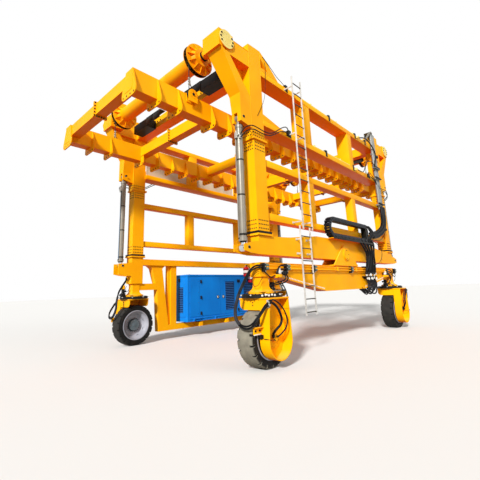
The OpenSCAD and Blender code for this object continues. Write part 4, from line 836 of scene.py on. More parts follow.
# Legs
legSizes = {"halfX": 0.2, "halfY": 0.165, "footRows": (2.86, 2.95, 3.04),
            "topRows": (4.70, 4.78, 4.86), "perWide": 6, "perNarrow": 5, "screw": 0.017, "bolt": 0.013,
            "columnRows": (5.03, 5.11)}
for key, end, side, ex, sy in legs:
    s = legSizes
    spots, flange = [], []
    for z in s["footRows"] + s["topRows"]:
        for sign in (-1, 1):
            spots += row((ex * legX - 0.15, sy * legY + sign * s["halfY"], z),
                         (ex * legX + 0.15, sy * legY + sign * s["halfY"], z),
                         s["perWide"], (0, sign, 0), s["screw"])
            spots += row((ex * legX + sign * s["halfX"], sy * legY - 0.115, z),
                         (ex * legX + sign * s["halfX"], sy * legY + 0.115, z),
                         s["perNarrow"], (sign, 0, 0), s["screw"])
    for z in s["columnRows"]:
        for way in (-1, 1):
            spots += row(atLeg(end, side, -0.19, way * 0.165, z), atLeg(end, side, 0.15, way * 0.165, z),
                         s["perWide"], toLeg(end, side, (0, way, 0)), s["screw"])
        spots += row(atLeg(end, side, -0.24, -0.115, z), atLeg(end, side, -0.24, 0.115, z),
                     s["perNarrow"], toLeg(end, side, (-1, 0, 0)), s["screw"])
    repeat(key + "SleeveScrews", shapes["button"], spots, "upper_frame", "blackSteel")
    for z, way in ((4.975, 1), (4.925, -1)):
        for sign in (-1, 1):
            flange += row((ex * legX - 0.19, sy * legY + sign * 0.188, z),
                          (ex * legX + 0.19, sy * legY + sign * 0.188, z), 7, (0, 0, way), s["bolt"])
            flange += row((ex * legX + sign * 0.223, sy * legY - 0.13, z),
                          (ex * legX + sign * 0.223, sy * legY + 0.13, z), 5, (0, 0, way), s["bolt"])
    repeat(key + "SleeveFlangeBolts", shapes["hex"], flange, "upper_frame", "orange", 3.0)
    base = "pivot_side_base" if side == "pivot" else "genset_side_base"
    foot = []
    for sign in (-1, 1):
        foot += row((ex * legX - 0.2, sy * legY + sign * 0.19, 2.7),
                    (ex * legX + 0.2, sy * legY + sign * 0.19, 2.7), 8, (0, 0, -1), s["bolt"])
        foot += row((ex * legX + sign * 0.225, sy * legY - 0.13, 2.7),
                    (ex * legX + sign * 0.225, sy * legY + 0.13, 2.7), 5, (0, 0, -1), s["bolt"])
    foot = [f for f in foot if abs(f[0].x) > legX]
    repeat(key + "BaseFlangeBolts", shapes["hex"], foot, base, "blackSteel", 3.0)
    # wiper's clamping strip with screws
    bm = bmesh.new()
    for sx, sy2 in ((1, 0), (-1, 0), (0, 1), (0, -1)):
        cx, cy = ex * legX + sx * 0.235, sy * legY + sy2 * 0.2
        hx, hy = (0.004, 0.2) if sx else (0.235, 0.004)
        addBox(bm, (cx - hx, cy - hy, 2.755), (cx + hx, cy + hy, 2.782), 0.002)
    meshPiece(key + "WiperStrip", bm, "upper_frame", "blackSteel", 30)
print("legs dressed")

# Forks: hose loops from the frame, clamp, hoses to the wheel motor, sensor bracket
forkHoses = {
    "loop": [(-0.12, -0.197, 2.058), (-0.20, -0.175, 2.055), (-0.245, -0.08, 2.045), (-0.30, 0.01, 1.98),
             (-0.42, 0.04, 1.83), (-0.54, 0.06, 1.65), (-0.60, 0.10, 1.50), (-0.64, 0.13, 1.34),
             (-0.66, 0.155, 1.175), (-0.68, 0.117, 1.025), (-0.685, 0.014, 0.915), (-0.68, -0.143, 0.875),
             (-0.66, -0.282, 0.92), (-0.60, -0.365, 1.034), (-0.50, -0.41, 1.165), (-0.42, -0.44, 1.26),
             (-0.345, -0.462, 1.30)],
    "loopRadius": 0.019, "spread": (0.0, -0.006, -0.044), "guard": (6, 11), "guardRadius": 0.031,
    "motorA": [(-0.345, -0.475, 1.30), (-0.29, -0.492, 1.30), (-0.218, -0.492, 1.27), (-0.11, -0.492, 1.19),
               (-0.03, -0.492, 1.08), (0.012, -0.488, 0.95), (-0.03, -0.47, 0.85), (-0.10, -0.42, 0.77),
               (-0.12, -0.36, 0.69), (-0.07, -0.32, 0.62)],
    "motorB": [(-0.33, -0.475, 1.335), (-0.25, -0.484, 1.35), (-0.17, -0.484, 1.335), (-0.01, -0.484, 1.25),
               (0.13, -0.484, 1.11), (0.20, -0.484, 0.94), (0.165, -0.48, 0.80), (0.09, -0.40, 0.67),
               (0.03, -0.33, 0.61)],
    "sensorCable": [(-0.42, -0.335, 0.635), (-0.40, -0.41, 0.625), (-0.36, -0.475, 0.61),
                    (-0.28, -0.485, 0.60),
                    (-0.20, -0.47, 0.585), (-0.12, -0.40, 0.575), (-0.06, -0.32, 0.575)],
    "frontLoop": [(-0.225, -0.165, 1.93), (-0.22, -0.06, 1.90), (-0.205, 0.03, 1.83), (-0.20, 0.07, 1.74),
                  (-0.22, 0.02, 1.65), (-0.24, -0.04, 1.62), (-0.225, -0.12, 1.65), (-0.20, -0.17, 1.74),
                  (-0.16, -0.19, 1.80)],
}


def shifted(points, move):
    return [tuple(a + b for a, b in zip(p, move)) for p in points]


def placed(end, side, points):
    return [atLeg(end, side, *p) for p in points]


def legBox(bm, end, side, low, high, bevel=0.0):
    # A box given by two corners in the leg's own frame
    a, b = atLeg(end, side, *low), atLeg(end, side, *high)
    addBox(bm, [min(p, q) for p, q in zip(a, b)], [max(p, q) for p, q in zip(a, b)], bevel)


for key, end, side, ex, sy in legs:
    fork, base = key + "_fork", "equaliser" if side == "pivot" else "genset_side_base"
    h = forkHoses
    joint = (base, fork, atLeg(end, side, -0.3, 0, 1.95), atLeg(end, side, -0.3, 0, 1.33))
    hose(key + "HoseUpper", placed(end, side, h["loop"]), h["loopRadius"], blend=joint, step=0.035)
    hose(key + "HoseLower", placed(end, side, shifted(h["loop"], h["spread"])), h["loopRadius"],
         blend=joint, step=0.035)
    first, last = h["guard"]
    guard = shifted(h["loop"][first:last], [v / 2 for v in h["spread"]])
    hose(key + "HoseGuard", placed(end, side, guard), h["guardRadius"], "sheath", blend=joint, ridge=0.004,
         step=0.012, sides=12, ends=False)
    hose(key + "MotorHoseA", placed(end, side, h["motorA"]), 0.025, body=fork, step=0.03)
    hose(key + "MotorHoseB", placed(end, side, h["motorB"]), 0.015, body=fork, step=0.03)
    for tail, route, body in (("SensorCable", "sensorCable", fork), ("BaseCable", "frontLoop", base)):
        hose(key + tail, placed(end, side, h[route]), 0.006, "rubber", body, step=0.03, sides=6,
             ends=False)
    # clamp on the crown's corner, two half shells bolted on a plate
    bm = bmesh.new()
    for z in (1.30, 1.255):
        lathe(bm, [(-0.022, 0.022), (-0.022, 0.032), (0.022, 0.032), (0.022, 0.022)],
              atLeg(end, side, -0.345, -0.462, z), toLeg(end, side, (1, -0.2, 0.15)), 14, closed=True)
    legBox(bm, end, side, (-0.372, -0.43, 1.20), (-0.318, -0.466, 1.355), 0.004)
    meshPiece(key + "HoseClamp", bm, fork, "zinc", 30)
    spots = [(atLeg(end, side, -0.345, -0.467, z), toLeg(end, side, (0, -1, 0)), Vector((1, 0, 0)), 0.010)
             for z in (1.215, 1.34)]
    spots += [(atLeg(end, side, -0.326, y, z), toLeg(end, side, (-1, 0, 0)), Vector((0, 0, 1)), 0.012)
              for y, z in ((-0.027, 1.30), (-0.027, 1.245))]
    repeat(key + "ClampBolts", shapes["hex"], spots, fork, "blackSteel")
    # sensor bracket beside the tyre
    bm = bmesh.new()
    for low, high, bevel in (((-0.60, -0.262, 0.715), (-0.31, -0.245, 0.845), 0.003),
                             ((-0.60, -0.325, 0.835), (-0.31, -0.245, 0.85), 0.003),
                             ((-0.35, -0.325, 0.715), (-0.322, -0.245, 0.845), 0.003)):
        legBox(bm, end, side, low, high, bevel)
    meshPiece(key + "SensorBracket", bm, fork, "orange", 30)
    bm = bmesh.new()
    legBox(bm, end, side, (-0.585, -0.268, 0.70), (-0.385, -0.243, 0.722), 0.003)
    meshPiece(key + "SensorStrip", bm, fork, "white", 30)
    bm = bmesh.new()
    out = toLeg(end, side, (-1, 0, 0))
    for x, z in ((-0.55, 0.78), (-0.42, 0.78)):
        lathe(bm, [(-0.001, 0.0), (-0.001, 0.022), (0.012, 0.022), (0.016, 0.014), (0.016, 0.0)],
              atLeg(end, side, x, -0.262, z), toLeg(end, side, (0, -1, 0)), 12)
    lathe(bm, [(-0.03, 0.0), (-0.03, 0.038), (0.05, 0.038), (0.05, 0.026), (0.085, 0.026), (0.09, 0.0)],
          atLeg(end, side, -0.36, -0.285, 0.655), out, 14)
    legBox(bm, end, side, (-0.375, -0.32, 0.60), (-0.305, -0.25, 0.70), 0.008)
    meshPiece(key + "SensorFitting", bm, fork, "blackSteel", 35)
    # ring of bolts on the motor's seat and gland plate on its port
    spots = ring(atLeg(end, side, 0, -0.267, 0.6), toLeg(end, side, (0, -1, 0)), 0.18, 16, 0.012)
    spots += ring(atLeg(end, side, 0, -0.315, 0.6), toLeg(end, side, (0, -1, 0)), 0.055, 6, 0.008)
    repeat(key + "SeatBolts", shapes["hex"], spots, fork, "orange", 3.0)
    seams = [[atLeg(end, side, -0.0885, -0.0885, 1.507), atLeg(end, side, -0.0885, -0.0885, 1.78)],
             [atLeg(end, side, 0.0885, -0.0885, 1.507), atLeg(end, side, 0.0885, -0.0885, 1.78)]]
    seams.append([atLeg(end, side, 0.126 * math.cos(0.3 * i), 0.126 * math.sin(0.3 * i), 1.507)
                  for i in range(22)])
    welds(key + "PedestalWelds", seams, base, 0.008)
print("fork hoses and brackets made")

# Pivot boss: raised ring and keeper bolts on the disc of each cheek
bm, spots = bmesh.new(), []
for y, way in ((-2.895, -1), (-2.425, 1)):
    for profile in ([(0.0, 0.130), (0.008, 0.132), (0.008, 0.164), (0.0, 0.168)],
                    [(-0.026, 0.178), (-0.014, 0.18), (-0.014, 0.198), (-0.026, 0.202)]):
        lathe(bm, profile, (0, y, 2.456), (0, way, 0), 56, closed=True)
    spots += ring((0, y, 2.456), (0, way, 0), 0.12, 4, 0.011, math.pi / 4)
meshPiece("pivotBossRings", bm, "equaliser", "orange", 30)
repeat("pivotBossBolts", shapes["hex"], spots, "equaliser", "blackSteel")

# Equaliser: pipe clamps, front valves, bolt row along the belly, hoses of the valves
def bellyTop(x):
    return 1.84 - max(0.0, min(1.0, (3.40 - abs(x)) / 2.18)) * 0.38


bm, green, spots = bmesh.new(), bmesh.new(), []
for sign in (-1, 1):
    for x in (-3.815, -3.02, -1.83, 0.28)[:4 if sign < 0 else 3]:
        x = x if sign < 0 else -x + 0.1
        y = -2.86
        addBox(bm, (x - 0.055, y - 0.035, 1.915), (x, y + 0.06, 2.102), 0.008)
        for z in (1.988, 2.058):
            lathe(green, [(-0.045, 0.0), (-0.045, 0.026), (-0.03, 0.034), (0.05, 0.034), (0.06, 0.026),
                          (0.06, 0.0)],
                  (x + 0.05, y, z), (1, 0, 0), 12)
        spots += [((x - 0.028, y - 0.035, z), Vector((0, -1, 0)), Vector((1, 0, 0)), 0.011)
                  for z in (1.93, 2.023, 2.09)]
meshPiece("equaliserClampBlocks", bm, "equaliser", "black", 30)
meshPiece("equaliserClampShells", green, "equaliser", "clamp", 30)
repeat("equaliserClampBolts", shapes["hex"], spots, "equaliser", "zinc")
spots = []
for sign in (-1, 1):
    for i in range(31):
        x = sign * (3.10 - 0.06 * i)
        spots.append(((x, -2.7945, bellyTop(x) + 0.035), Vector((0, -1, 0)), Vector((1, 0, 0)), 0.018))
repeat("equaliserBellyStuds", shapes["button"], spots, "equaliser", "white")
bm, pale = bmesh.new(), bmesh.new()
for x in (-3.345, 2.86):
    addBox(bm, (x - 0.19, -2.95, 1.784), (x + 0.01, -2.87, 1.862), 0.01)
    lathe(bm, [(0.0, 0.0), (0.0, 0.03), (0.02, 0.036), (0.05, 0.036), (0.06, 0.02), (0.06, 0.0)],
          (x - 0.14, -2.95, 1.82), (0, -1, 0), 14)
    addBox(pale, (x - 0.08, -2.93, 1.874), (x + 0.07, -2.862, 1.942), 0.008)
    lathe(pale, [(0.0, 0.0), (0.0, 0.022), (0.05, 0.022), (0.06, 0.015), (0.06, 0.0)],
          (x - 0.02, -2.90, 1.94), (0, 0, 1), 12)
meshPiece("frameValves", bm, "equaliser", "orange", 30)
meshPiece("frameValveCaps", pale, "equaliser", "white", 30)
for tag, sign in (("front", -1), ("rear", 1)):
    for i, (route, radius) in enumerate((
            ([(-3.07, -2.86, 2.058), (-3.18, -2.89, 2.06), (-3.33, -2.91, 2.05), (-3.43, -2.915, 1.99),
              (-3.46, -2.915, 1.90), (-3.44, -2.915, 1.86)], 0.017),
            ([(-3.07, -2.86, 1.988), (-3.18, -2.885, 1.985), (-3.29, -2.895, 1.975), (-3.345, -2.895, 1.95),
              (-3.35, -2.895, 1.93)], 0.015),
            ([(-3.22, -2.915, 1.87), (-3.20, -2.94, 1.80), (-3.24, -2.93, 1.74), (-3.36, -2.87, 1.70),
              (-3.50, -2.80, 1.66), (-3.58, -2.74, 1.60)], 0.014),
            ([(-3.15, -2.915, 1.87), (-3.12, -2.94, 1.78), (-3.18, -2.92, 1.70), (-3.32, -2.85, 1.66),
              (-3.47, -2.78, 1.63), (-3.56, -2.70, 1.57)], 0.014),
            ([(-3.86, -2.857, 1.93), (-3.80, -2.90, 1.86), (-3.68, -2.91, 1.80), (-3.56, -2.91, 1.84),
              (-3.50, -2.90, 1.82)], 0.012))):
        moved = [(p[0] if sign < 0 else -p[0], p[1], p[2]) for p in route]
        hose(f"{tag}ValveHose{i}", moved, radius, "hose", "equaliser", step=0.03, sides=8)
    pipe = [(3.64, -2.86, 1.51), (3.50, -2.88, 1.515), (3.34, -2.88, 1.52), (3.31, -2.87, 1.56),
            (3.31, -2.83, 1.67), (3.30, -2.79, 1.72)]
    hose(f"{tag}BrakePipe", [(sign * x, y, z) for x, y, z in pipe], 0.012, "silver", "equaliser",
         step=0.02, sides=8)
print("equaliser dressed")

# Steering motors: orange housing lying beside the worm gear, with fins and bolts
for key, end, side, ex, sy in legs:
    base = "equaliser" if side == "pivot" else "genset_side_base"
    way = 1 if side == "pivot" else -1
    bm = bmesh.new()
    spot = atLeg(end, side, way * 0.375, 0.0, 1.706)
    lathe(bm, [(0.0, 0.0), (0.0, 0.054), (0.012, 0.058), (0.024, 0.054), (0.036, 0.058), (0.048, 0.054),
               (0.06, 0.058), (0.072, 0.054), (0.084, 0.058), (0.1, 0.052), (0.112, 0.04), (0.118, 0.0)],
          spot, (0, 0, 1), 20)
    meshPiece(key + "SteerMotorCap", bm, base, "orange", 35)
    spots = ring(atLeg(end, side, way * 0.375, 0.0, 1.5763), (0, 0, 1), 0.062, 6, 0.009)
    repeat(key + "SteerGearBolts", shapes["hex"], spots, base, "zinc", 3.0)

# Jacks: glands, collars, fittings, the pipe along the barrel and the sagging hoses to the frame
jackSizes = {"x": -0.505, "low": 2.56, "pipeRadius": 0.011, "hoses": (
    [(-0.555, -0.083, 4.93), (-0.575, -0.14, 4.97), (-0.54, -0.20, 5.06), (-0.42, -0.225, 5.15),
     (-0.284, -0.24, 5.195), (-0.10, -0.245, 5.19), (0.078, -0.245, 5.176), (0.24, -0.245, 5.19),
     (0.393, -0.24, 5.229), (0.57, -0.235, 5.33), (0.745, -0.23, 5.458), (0.92, -0.22, 5.57),
     (1.06, -0.21, 5.635), (1.15, -0.20, 5.635), (1.195, -0.19, 5.59), (1.20, -0.182, 5.54)],
    [(-0.555, -0.083, 4.87), (-0.56, -0.14, 4.90), (-0.50, -0.205, 4.99), (-0.38, -0.23, 5.07),
     (-0.24, -0.245, 5.11), (-0.076, -0.25, 5.098), (0.12, -0.25, 5.10), (0.26, -0.245, 5.13),
     (0.388, -0.24, 5.174), (0.56, -0.235, 5.27), (0.70, -0.23, 5.36), (0.85, -0.225, 5.44),
     (0.98, -0.215, 5.485), (1.08, -0.20, 5.49), (1.15, -0.184, 5.48)])}
for key, end, side, ex, sy in legs:
    s = jackSizes
    up = Vector((0, 0, 1))
    bm = bmesh.new()
    lathe(bm, [(0.0, 0.0475), (0.0, 0.066), (0.012, 0.074), (0.03, 0.074), (0.03, 0.06), (0.0, 0.0475)],
          atLeg(end, side, s["x"], 0, s["low"] - 0.03), up, 24)
    lathe(bm, [(0.0, 0.079), (0.0, 0.088), (0.04, 0.088), (0.04, 0.079)],
          atLeg(end, side, s["x"], 0, s["low"] + 0.12), up, 28)
    for z in (3.55, 4.35):
        lathe(bm, [(0.0, 0.079), (0.0, 0.084), (0.03, 0.084), (0.03, 0.079)],
              atLeg(end, side, s["x"], 0, z), up, 28)
    meshPiece(key + "JackGland", bm, "upper_frame", "blackSteel", 30)
    bm = bmesh.new()
    legBox(bm, end, side, (s["x"] - 0.125, -0.035, 4.86), (s["x"] - 0.07, 0.035, 5.0), 0.006)
    legBox(bm, end, side, (s["x"] - 0.08, -0.10, 4.85), (s["x"] - 0.02, -0.05, 4.96), 0.006)
    lathe(bm, [(0.0, 0.0), (0.0, 0.02), (0.03, 0.02), (0.035, 0.013), (0.055, 0.013), (0.055, 0.0)],
          atLeg(end, side, s["x"] - 0.1, -0.035, 4.93), toLeg(end, side, (0, -1, 0)), 8)
    lathe(bm, [(0.0, 0.0), (0.0, 0.018), (0.04, 0.018), (0.04, 0.0)],
          atLeg(end, side, s["x"] - 0.098, 0, 5.0), up, 8)
    meshPiece(key + "JackValve", bm, "upper_frame", "zinc", 30)
    tint = "silver" if side == "pivot" else "barrelBlue"
    pipe = [(s["x"] - 0.09, 0.03, 2.63), (s["x"] - 0.096, 0.03, 2.72), (s["x"] - 0.097, 0.03, 3.6),
            (s["x"] - 0.097, 0.03, 4.5), (s["x"] - 0.096, 0.025, 4.87)]
    hose(key + "JackPipe", [atLeg(end, side, *p) for p in pipe], s["pipeRadius"], tint, "upper_frame",
         step=0.25, sides=8)
    for i, run in enumerate(jackSizes["hoses"]):
        hose(key + f"JackHose{i}", placed(end, side, run), 0.013, "hose", "upper_frame", step=0.03,
             sides=8)
    bm = bmesh.new()
    legBox(bm, end, side, (1.15, -0.165, 5.43), (1.245, -0.225, 5.55), 0.008)
    meshPiece(key + "JackHoseFitting", bm, "upper_frame", "black", 30)
    # pin keepers at both jack pins
    base = "pivot_side_base" if side == "pivot" else "genset_side_base"
    for body, z in ((base, 2.42), ("upper_frame", 5.376)):
        spots = []
        for way in (-1, 1):
            spots.append((atLeg(end, side, s["x"], way * 0.1652, z), toLeg(end, side, (0, way, 0)),
                          Vector((0, 0, 1)), 0.03))
        repeat(key + ("LowerPins" if z < 3 else "UpperPins"), shapes["pin"], spots, body, "blackSteel")
print("jacks dressed")

# Heads: bolted end plate, bearing rings inboard, weld lines, cable down the knee
for key, end, side, ex, sy in legs:
    out = toLeg(end, side, (0, -1, 0))
    centre = atLeg(end, side, -1.0, -0.195, 7.08)
    spots = [s for s in ring(centre + out * 0.006, out, 0.185, 12, 0.019, math.pi / 12)
             if abs(s[0].x - centre.x) > 0.12]
    repeat(key + "EndPlateBolts", shapes["hex"], spots, "upper_frame", "blackSteel")
    spots = ring(centre + out * 0.006, out, 0.11, 8, 0.007, 0.2)
    repeat(key + "EndPlateScrews", shapes["button"], spots, "upper_frame", "silver")
    bm = bmesh.new()
    lathe(bm, [(-0.002, 0.0), (-0.002, 0.222), (0.004, 0.222), (0.006, 0.219), (0.006, 0.0)], centre, out,
          56)
    lathe(bm, [(0.005, 0.146), (0.009, 0.146), (0.009, 0.152), (0.005, 0.152)], centre, out, 48, closed=True)
    meshPiece(key + "EndPlateCap", bm, "upper_frame", "paleYellow", 30)
    spots = ring(atLeg(end, side, -1.0, 0.39, 7.08), -out, 0.165, 12, 0.014)
    repeat(key + "BearingBolts", shapes["hex"], spots, "upper_frame", "blackSteel")
    bm = bmesh.new()
    lathe(bm, [(0.0, 0.106), (0.0, 0.15), (0.02, 0.15), (0.026, 0.13), (0.03, 0.106)],
          atLeg(end, side, -1.0, 0.39, 7.08), -out, 36, closed=True)
    meshPiece(key + "BearingSeal", bm, "upper_frame", "rubber", 30)
    bm = bmesh.new()
    lathe(bm, [(-0.001, 0.0), (0.002, 0.03), (0.004, 0.03), (0.004, 0.038), (-0.001, 0.038)],
          atLeg(end, side, -1.0, -0.06, 6.864), (0, 0, -1), 20)
    meshPiece(key + "BlockDrain", bm, "upper_frame", "rubber", 30)
    for i, (run, radius) in enumerate((
            ([(0.30, -0.172, 7.34), (0.448, -0.175, 7.265), (0.65, -0.178, 7.15), (0.855, -0.18, 7.02),
              (1.02, -0.178, 6.975), (1.167, -0.175, 6.93), (1.28, -0.172, 6.86)], 0.007),
            ([(0.36, -0.171, 7.21), (0.387, -0.178, 7.094), (0.36, -0.18, 6.79), (0.335, -0.18, 6.485),
              (0.29, -0.18, 6.22), (0.235, -0.178, 6.045), (0.11, -0.174, 5.80), (-0.02, -0.171, 5.57)],
             0.005))):
        hose(key + f"KneeCable{i}", placed(end, side, run), radius, "rubber", "upper_frame", step=0.06,
             sides=6, ends=False)
    seams = []
    for y in (-0.165, 0.165):
        seams.append([atLeg(end, side, -0.24, y, 5.2), atLeg(end, side, -0.24, y, 7.2)])
        seams.append([atLeg(end, side, -0.24, y, 7.2), atLeg(end, side, -0.785, y, 7.2)])
        seams.append([atLeg(end, side, -0.24, y, 6.77), atLeg(end, side, -0.785, y, 6.77)])
        seams.append([atLeg(end, side, 0.2, y, 6.9), atLeg(end, side, 0.2, y, 7.45)])
        seams.append([atLeg(end, side, -0.785, y, 6.87), atLeg(end, side, -0.785, y, 7.29)])
    seams.append([atLeg(end, side, -0.2, -0.165, 4.976), atLeg(end, side, 0.2, -0.165, 4.976)])
    welds(key + "HeadWelds", seams, "upper_frame", 0.007)
print("heads dressed")

# Side frames: pipe clamps, straps, conduit bracket, the flexible hoses and their bundle
bm, spots = bmesh.new(), []
for sy in (-1, 1):
    for z in (6.9, 5.55):
        for x in (-2.44, -0.07, 1.85, 2.715) if z > 6 else (-2.44, -0.50, 1.38, 2.715):
            a, b = sorted((sy * 2.835, sy * 2.685))
            addBox(bm, (x - 0.055, a, z), (x + 0.055, b, z + 0.085), 0.008)
            a, b = sorted((sy * 2.8255, sy * 2.838))
            addBox(bm, (x - 0.05, a, z - 0.12), (x + 0.05, b, z + 0.04), 0.004)
            spots += [((x + dx, sy * y, z + 0.085), Vector((0, 0, 1)), Vector((1, 0, 0)), 0.011)
                      for dx in (-0.028, 0.028) for y in (2.752,)]
meshPiece("framePipeClamps", bm, "upper_frame", "black", 30)
repeat("framePipeClampBolts", shapes["hex"], spots, "upper_frame", "zinc")
bm = bmesh.new()
for x in (3.205, 3.32, 3.435):
    lathe(bm, [(0.0, 0.0), (0.0, 0.053), (0.045, 0.053), (0.055, 0.045), (0.055, 0.0)], (x, -2.875, 7.315),
          (0, 0, 1), 20)
    lathe(bm, [(0.0, 0.0), (0.0, 0.05), (0.06, 0.05), (0.06, 0.0)], (x, -2.875, 4.30), (0, 0, 1), 20)
addBox(bm, (3.02, -2.90, 7.385), (3.50, -2.70, 7.395), 0.002)
addBox(bm, (3.02, -2.71, 7.20), (3.50, -2.70, 7.395), 0.002)
meshPiece("conduitCaps", bm, "upper_frame", "galvanised", 30)
for i, route in enumerate((
        [(3.205, -2.875, 7.34), (3.20, -2.88, 7.42), (3.08, -2.88, 7.40), (2.92, -2.87, 7.22),
         (2.83, -2.80, 7.02), (2.76, -2.782, 6.935)],
        [(3.32, -2.875, 7.34), (3.31, -2.90, 7.435), (3.12, -2.92, 7.42), (2.95, -2.88, 7.20),
         (2.84, -2.75, 7.0), (2.76, -2.724, 6.935)])):
    hose(f"conduitTopHose{i}", route, 0.024, "silver", "upper_frame", step=0.03, sides=10)
bm = bmesh.new()
for z in (5.93, 5.50, 4.47):
    addBox(bm, (2.98, -2.99, z), (3.50, -2.935, z + 0.05), 0.005)
addBox(bm, (3.40, -2.94, 6.47), (3.60, -2.84, 6.53), 0.005)
addBox(bm, (3.56, -2.94, 6.44), (3.60, -2.824, 6.56), 0.004)
meshPiece("conduitClamps", bm, "upper_frame", "black", 30)
feed = {"x": (3.205, 3.32, 3.435), "radius": 0.05, "route": [
    (0.0, -2.93, 4.38), (-0.02, -2.935, 4.2), (-0.07, -2.95, 4.0), (-0.15, -2.965, 3.80),
    (-0.28, -2.975, 3.62), (-0.46, -2.98, 3.47), (-0.70, -2.975, 3.35), (-0.96, -2.965, 3.26),
    (-1.20, -2.955, 3.21), (-1.42, -2.95, 3.18)]}
joint = ("upper_frame", "pivot_side_base", (3.1, -2.95, 4.25), (3.1, -2.95, 3.35))
for i, x in enumerate(feed["x"]):
    low = 0.055 * (1 - i)  # the outer hose swings lower, the inner one cuts the corner
    route = [(x + dx, y - 0.012 * (i % 2), z + low * min(1.0, max(0.0, (4.0 - z) / 0.6)))
             for dx, y, z in feed["route"]]
    hose(f"chainFeedHose{i}", route, feed["radius"], "hose", blend=joint, ridge=0.004, step=0.02, sides=12,
         ends=False)
# slack hoses at the chain's end, from its upper run down to the bundle
for i in range(7):
    x, y = 1.40 + 0.05 * i, -2.935 - 0.014 * (i % 3)
    bulge = 0.10 + 0.055 * ((3 * i) % 5)
    low = 1.02 + 0.12 * i
    route = [(x, y + 0.01, 3.46), (x + 0.3 * bulge, y - 0.03, 3.43),
             (x + bulge, y - 0.05, 3.30 - 0.02 * (i % 2)),
             (x + 0.9 * bulge, y - 0.05, 3.16), (x + 0.2 * bulge, y - 0.045, 3.07),
             (0.5 * (x + low), y - 0.03, 3.03 + 0.02 * (i % 2)), (low, y - 0.02, 2.99)]
    hose(f"chainSlack{i}", route, 0.022 + 0.004 * (i % 2), "hose", "pivot_side_base", step=0.03, sides=8,
         ends=False)
joint = ("pivot_side_base", "equaliser", (1.5, -2.95, 2.5), (1.5, -2.95, 2.0))
bundle = {"count": 12, "top": (0.80, 1.80), "waist": (1.22, 1.76), "foot": (1.16, 1.86), "radius": 0.029}
for i in range(bundle["count"]):
    t = i / (bundle["count"] - 1)
    top, waist, foot = (a + (b - a) * t for a, b in (bundle["top"], bundle["waist"], bundle["foot"]))
    foot = min(bundle["foot"][1], max(bundle["foot"][0], foot + 0.09 * math.sin(4.1 * i)))
    wave, front = 0.045 * math.sin(2.3 * i), 0.022 * ((2 * i) % 3)
    route = [(top, -2.94 - front, 2.99), (top + 0.05 + wave, -2.975 - front, 2.88),
             (0.5 * (top + waist) + 0.04, -2.985 - front, 2.72), (waist + wave, -2.985 - front, 2.52),
             (waist - 0.5 * wave, -2.975 - front, 2.32), (0.5 * (waist + foot), -2.955 - front, 2.14),
             (foot, -2.935 - 0.5 * front, 1.99), (foot, -2.925, 1.89)]
    hose(f"bundleHose{i}", route, bundle["radius"] - 0.003 * (i % 3), "hose", blend=joint, step=0.035,
         sides=9)
bm = bmesh.new()
for i in range(8):
    for j, z in enumerate((1.885, 1.765)):
        if (3 * i + j) % 4 == 3:
            continue
        x, dz = 1.18 + 0.098 * i + 0.03 * j, 0.02 * ((2 * i + j) % 3 - 1)
        lathe(bm, [(-0.042, 0.0), (-0.042, 0.021), (-0.012, 0.03), (0.016, 0.03), (0.026, 0.022),
                   (0.04, 0.022),
                   (0.04, 0.0)], (x, -2.925 - 0.012 * (i % 2), z + dz), (0, 0, 1), 8)
meshPiece("bundleCouplings", bm, "equaliser", "white", 30)
bm = bmesh.new()
addBox(bm, (1.10, -2.955, 1.79), (1.93, -2.795, 1.825), 0.004)
addBox(bm, (1.12, -2.90, 2.10), (1.92, -2.80, 2.13), 0.004)
meshPiece("bundleRail", bm, "equaliser", "blackSteel", 30)
for i in range(7):
    x, low = 1.20 + 0.11 * i, 1.27 + 0.045 * (i % 3)
    reach = 0.16 + 0.05 * ((2 * i) % 5)
    route = [(x, -2.815, 1.765), (x, -2.87, 1.745), (x + 0.02, -2.925, 1.62), (x - 0.01, -2.93, 1.47),
             (x - 0.07, -2.92, low + 0.04), (x - 0.5 * reach - 0.05, -2.89, low),
             (x - reach, -2.84, low + 0.04), (x - reach - 0.05, -2.78, low + 0.12),
             (x - reach - 0.06, -2.735, 1.442)]
    hose(f"bundleTail{i}", route, 0.021, "hose", "equaliser", step=0.035, sides=8)
for i, route in enumerate((
        [(1.86, -2.96, 3.02), (2.24, -2.95, 2.93), (2.56, -2.94, 2.82), (2.70, -2.93, 2.66),
         (2.64, -2.92, 2.46),
         (2.40, -2.92, 2.30), (2.04, -2.92, 2.20), (1.92, -2.90, 2.13)],
        [(3.42, -2.93, 3.55), (3.20, -2.95, 3.38), (2.88, -2.95, 3.18), (2.53, -2.96, 3.06),
         (1.95, -2.96, 3.03),
         (1.62, -2.94, 3.06)])):
    hose(f"thinCable{i}", route, 0.009, "rubber",
         blend=(("pivot_side_base", "equaliser", (2.3, -2.95, 2.6), (2.3, -2.95, 2.15)) if i == 0 else
                ("upper_frame", "pivot_side_base", (3.3, -2.95, 3.5), (2.7, -2.95, 3.1))),
         step=0.04, sides=6, ends=False)
bm = bmesh.new()
addBox(bm, (3.38, -2.955, 3.50), (3.46, -2.785, 3.58), 0.006)
meshPiece("cableClip", bm, "upper_frame", "black", 30)
print("hoses and cables made")

# Energy chain: links set along the folded path, with its end bracket
chain = {"low": 2.875, "outer": 0.30, "height": 0.125, "endX": 1.36, "bracketX": 1.385, "bendX": -0.82,
         "near": -3.015,
         "far": -2.845, "pitch": 0.088}


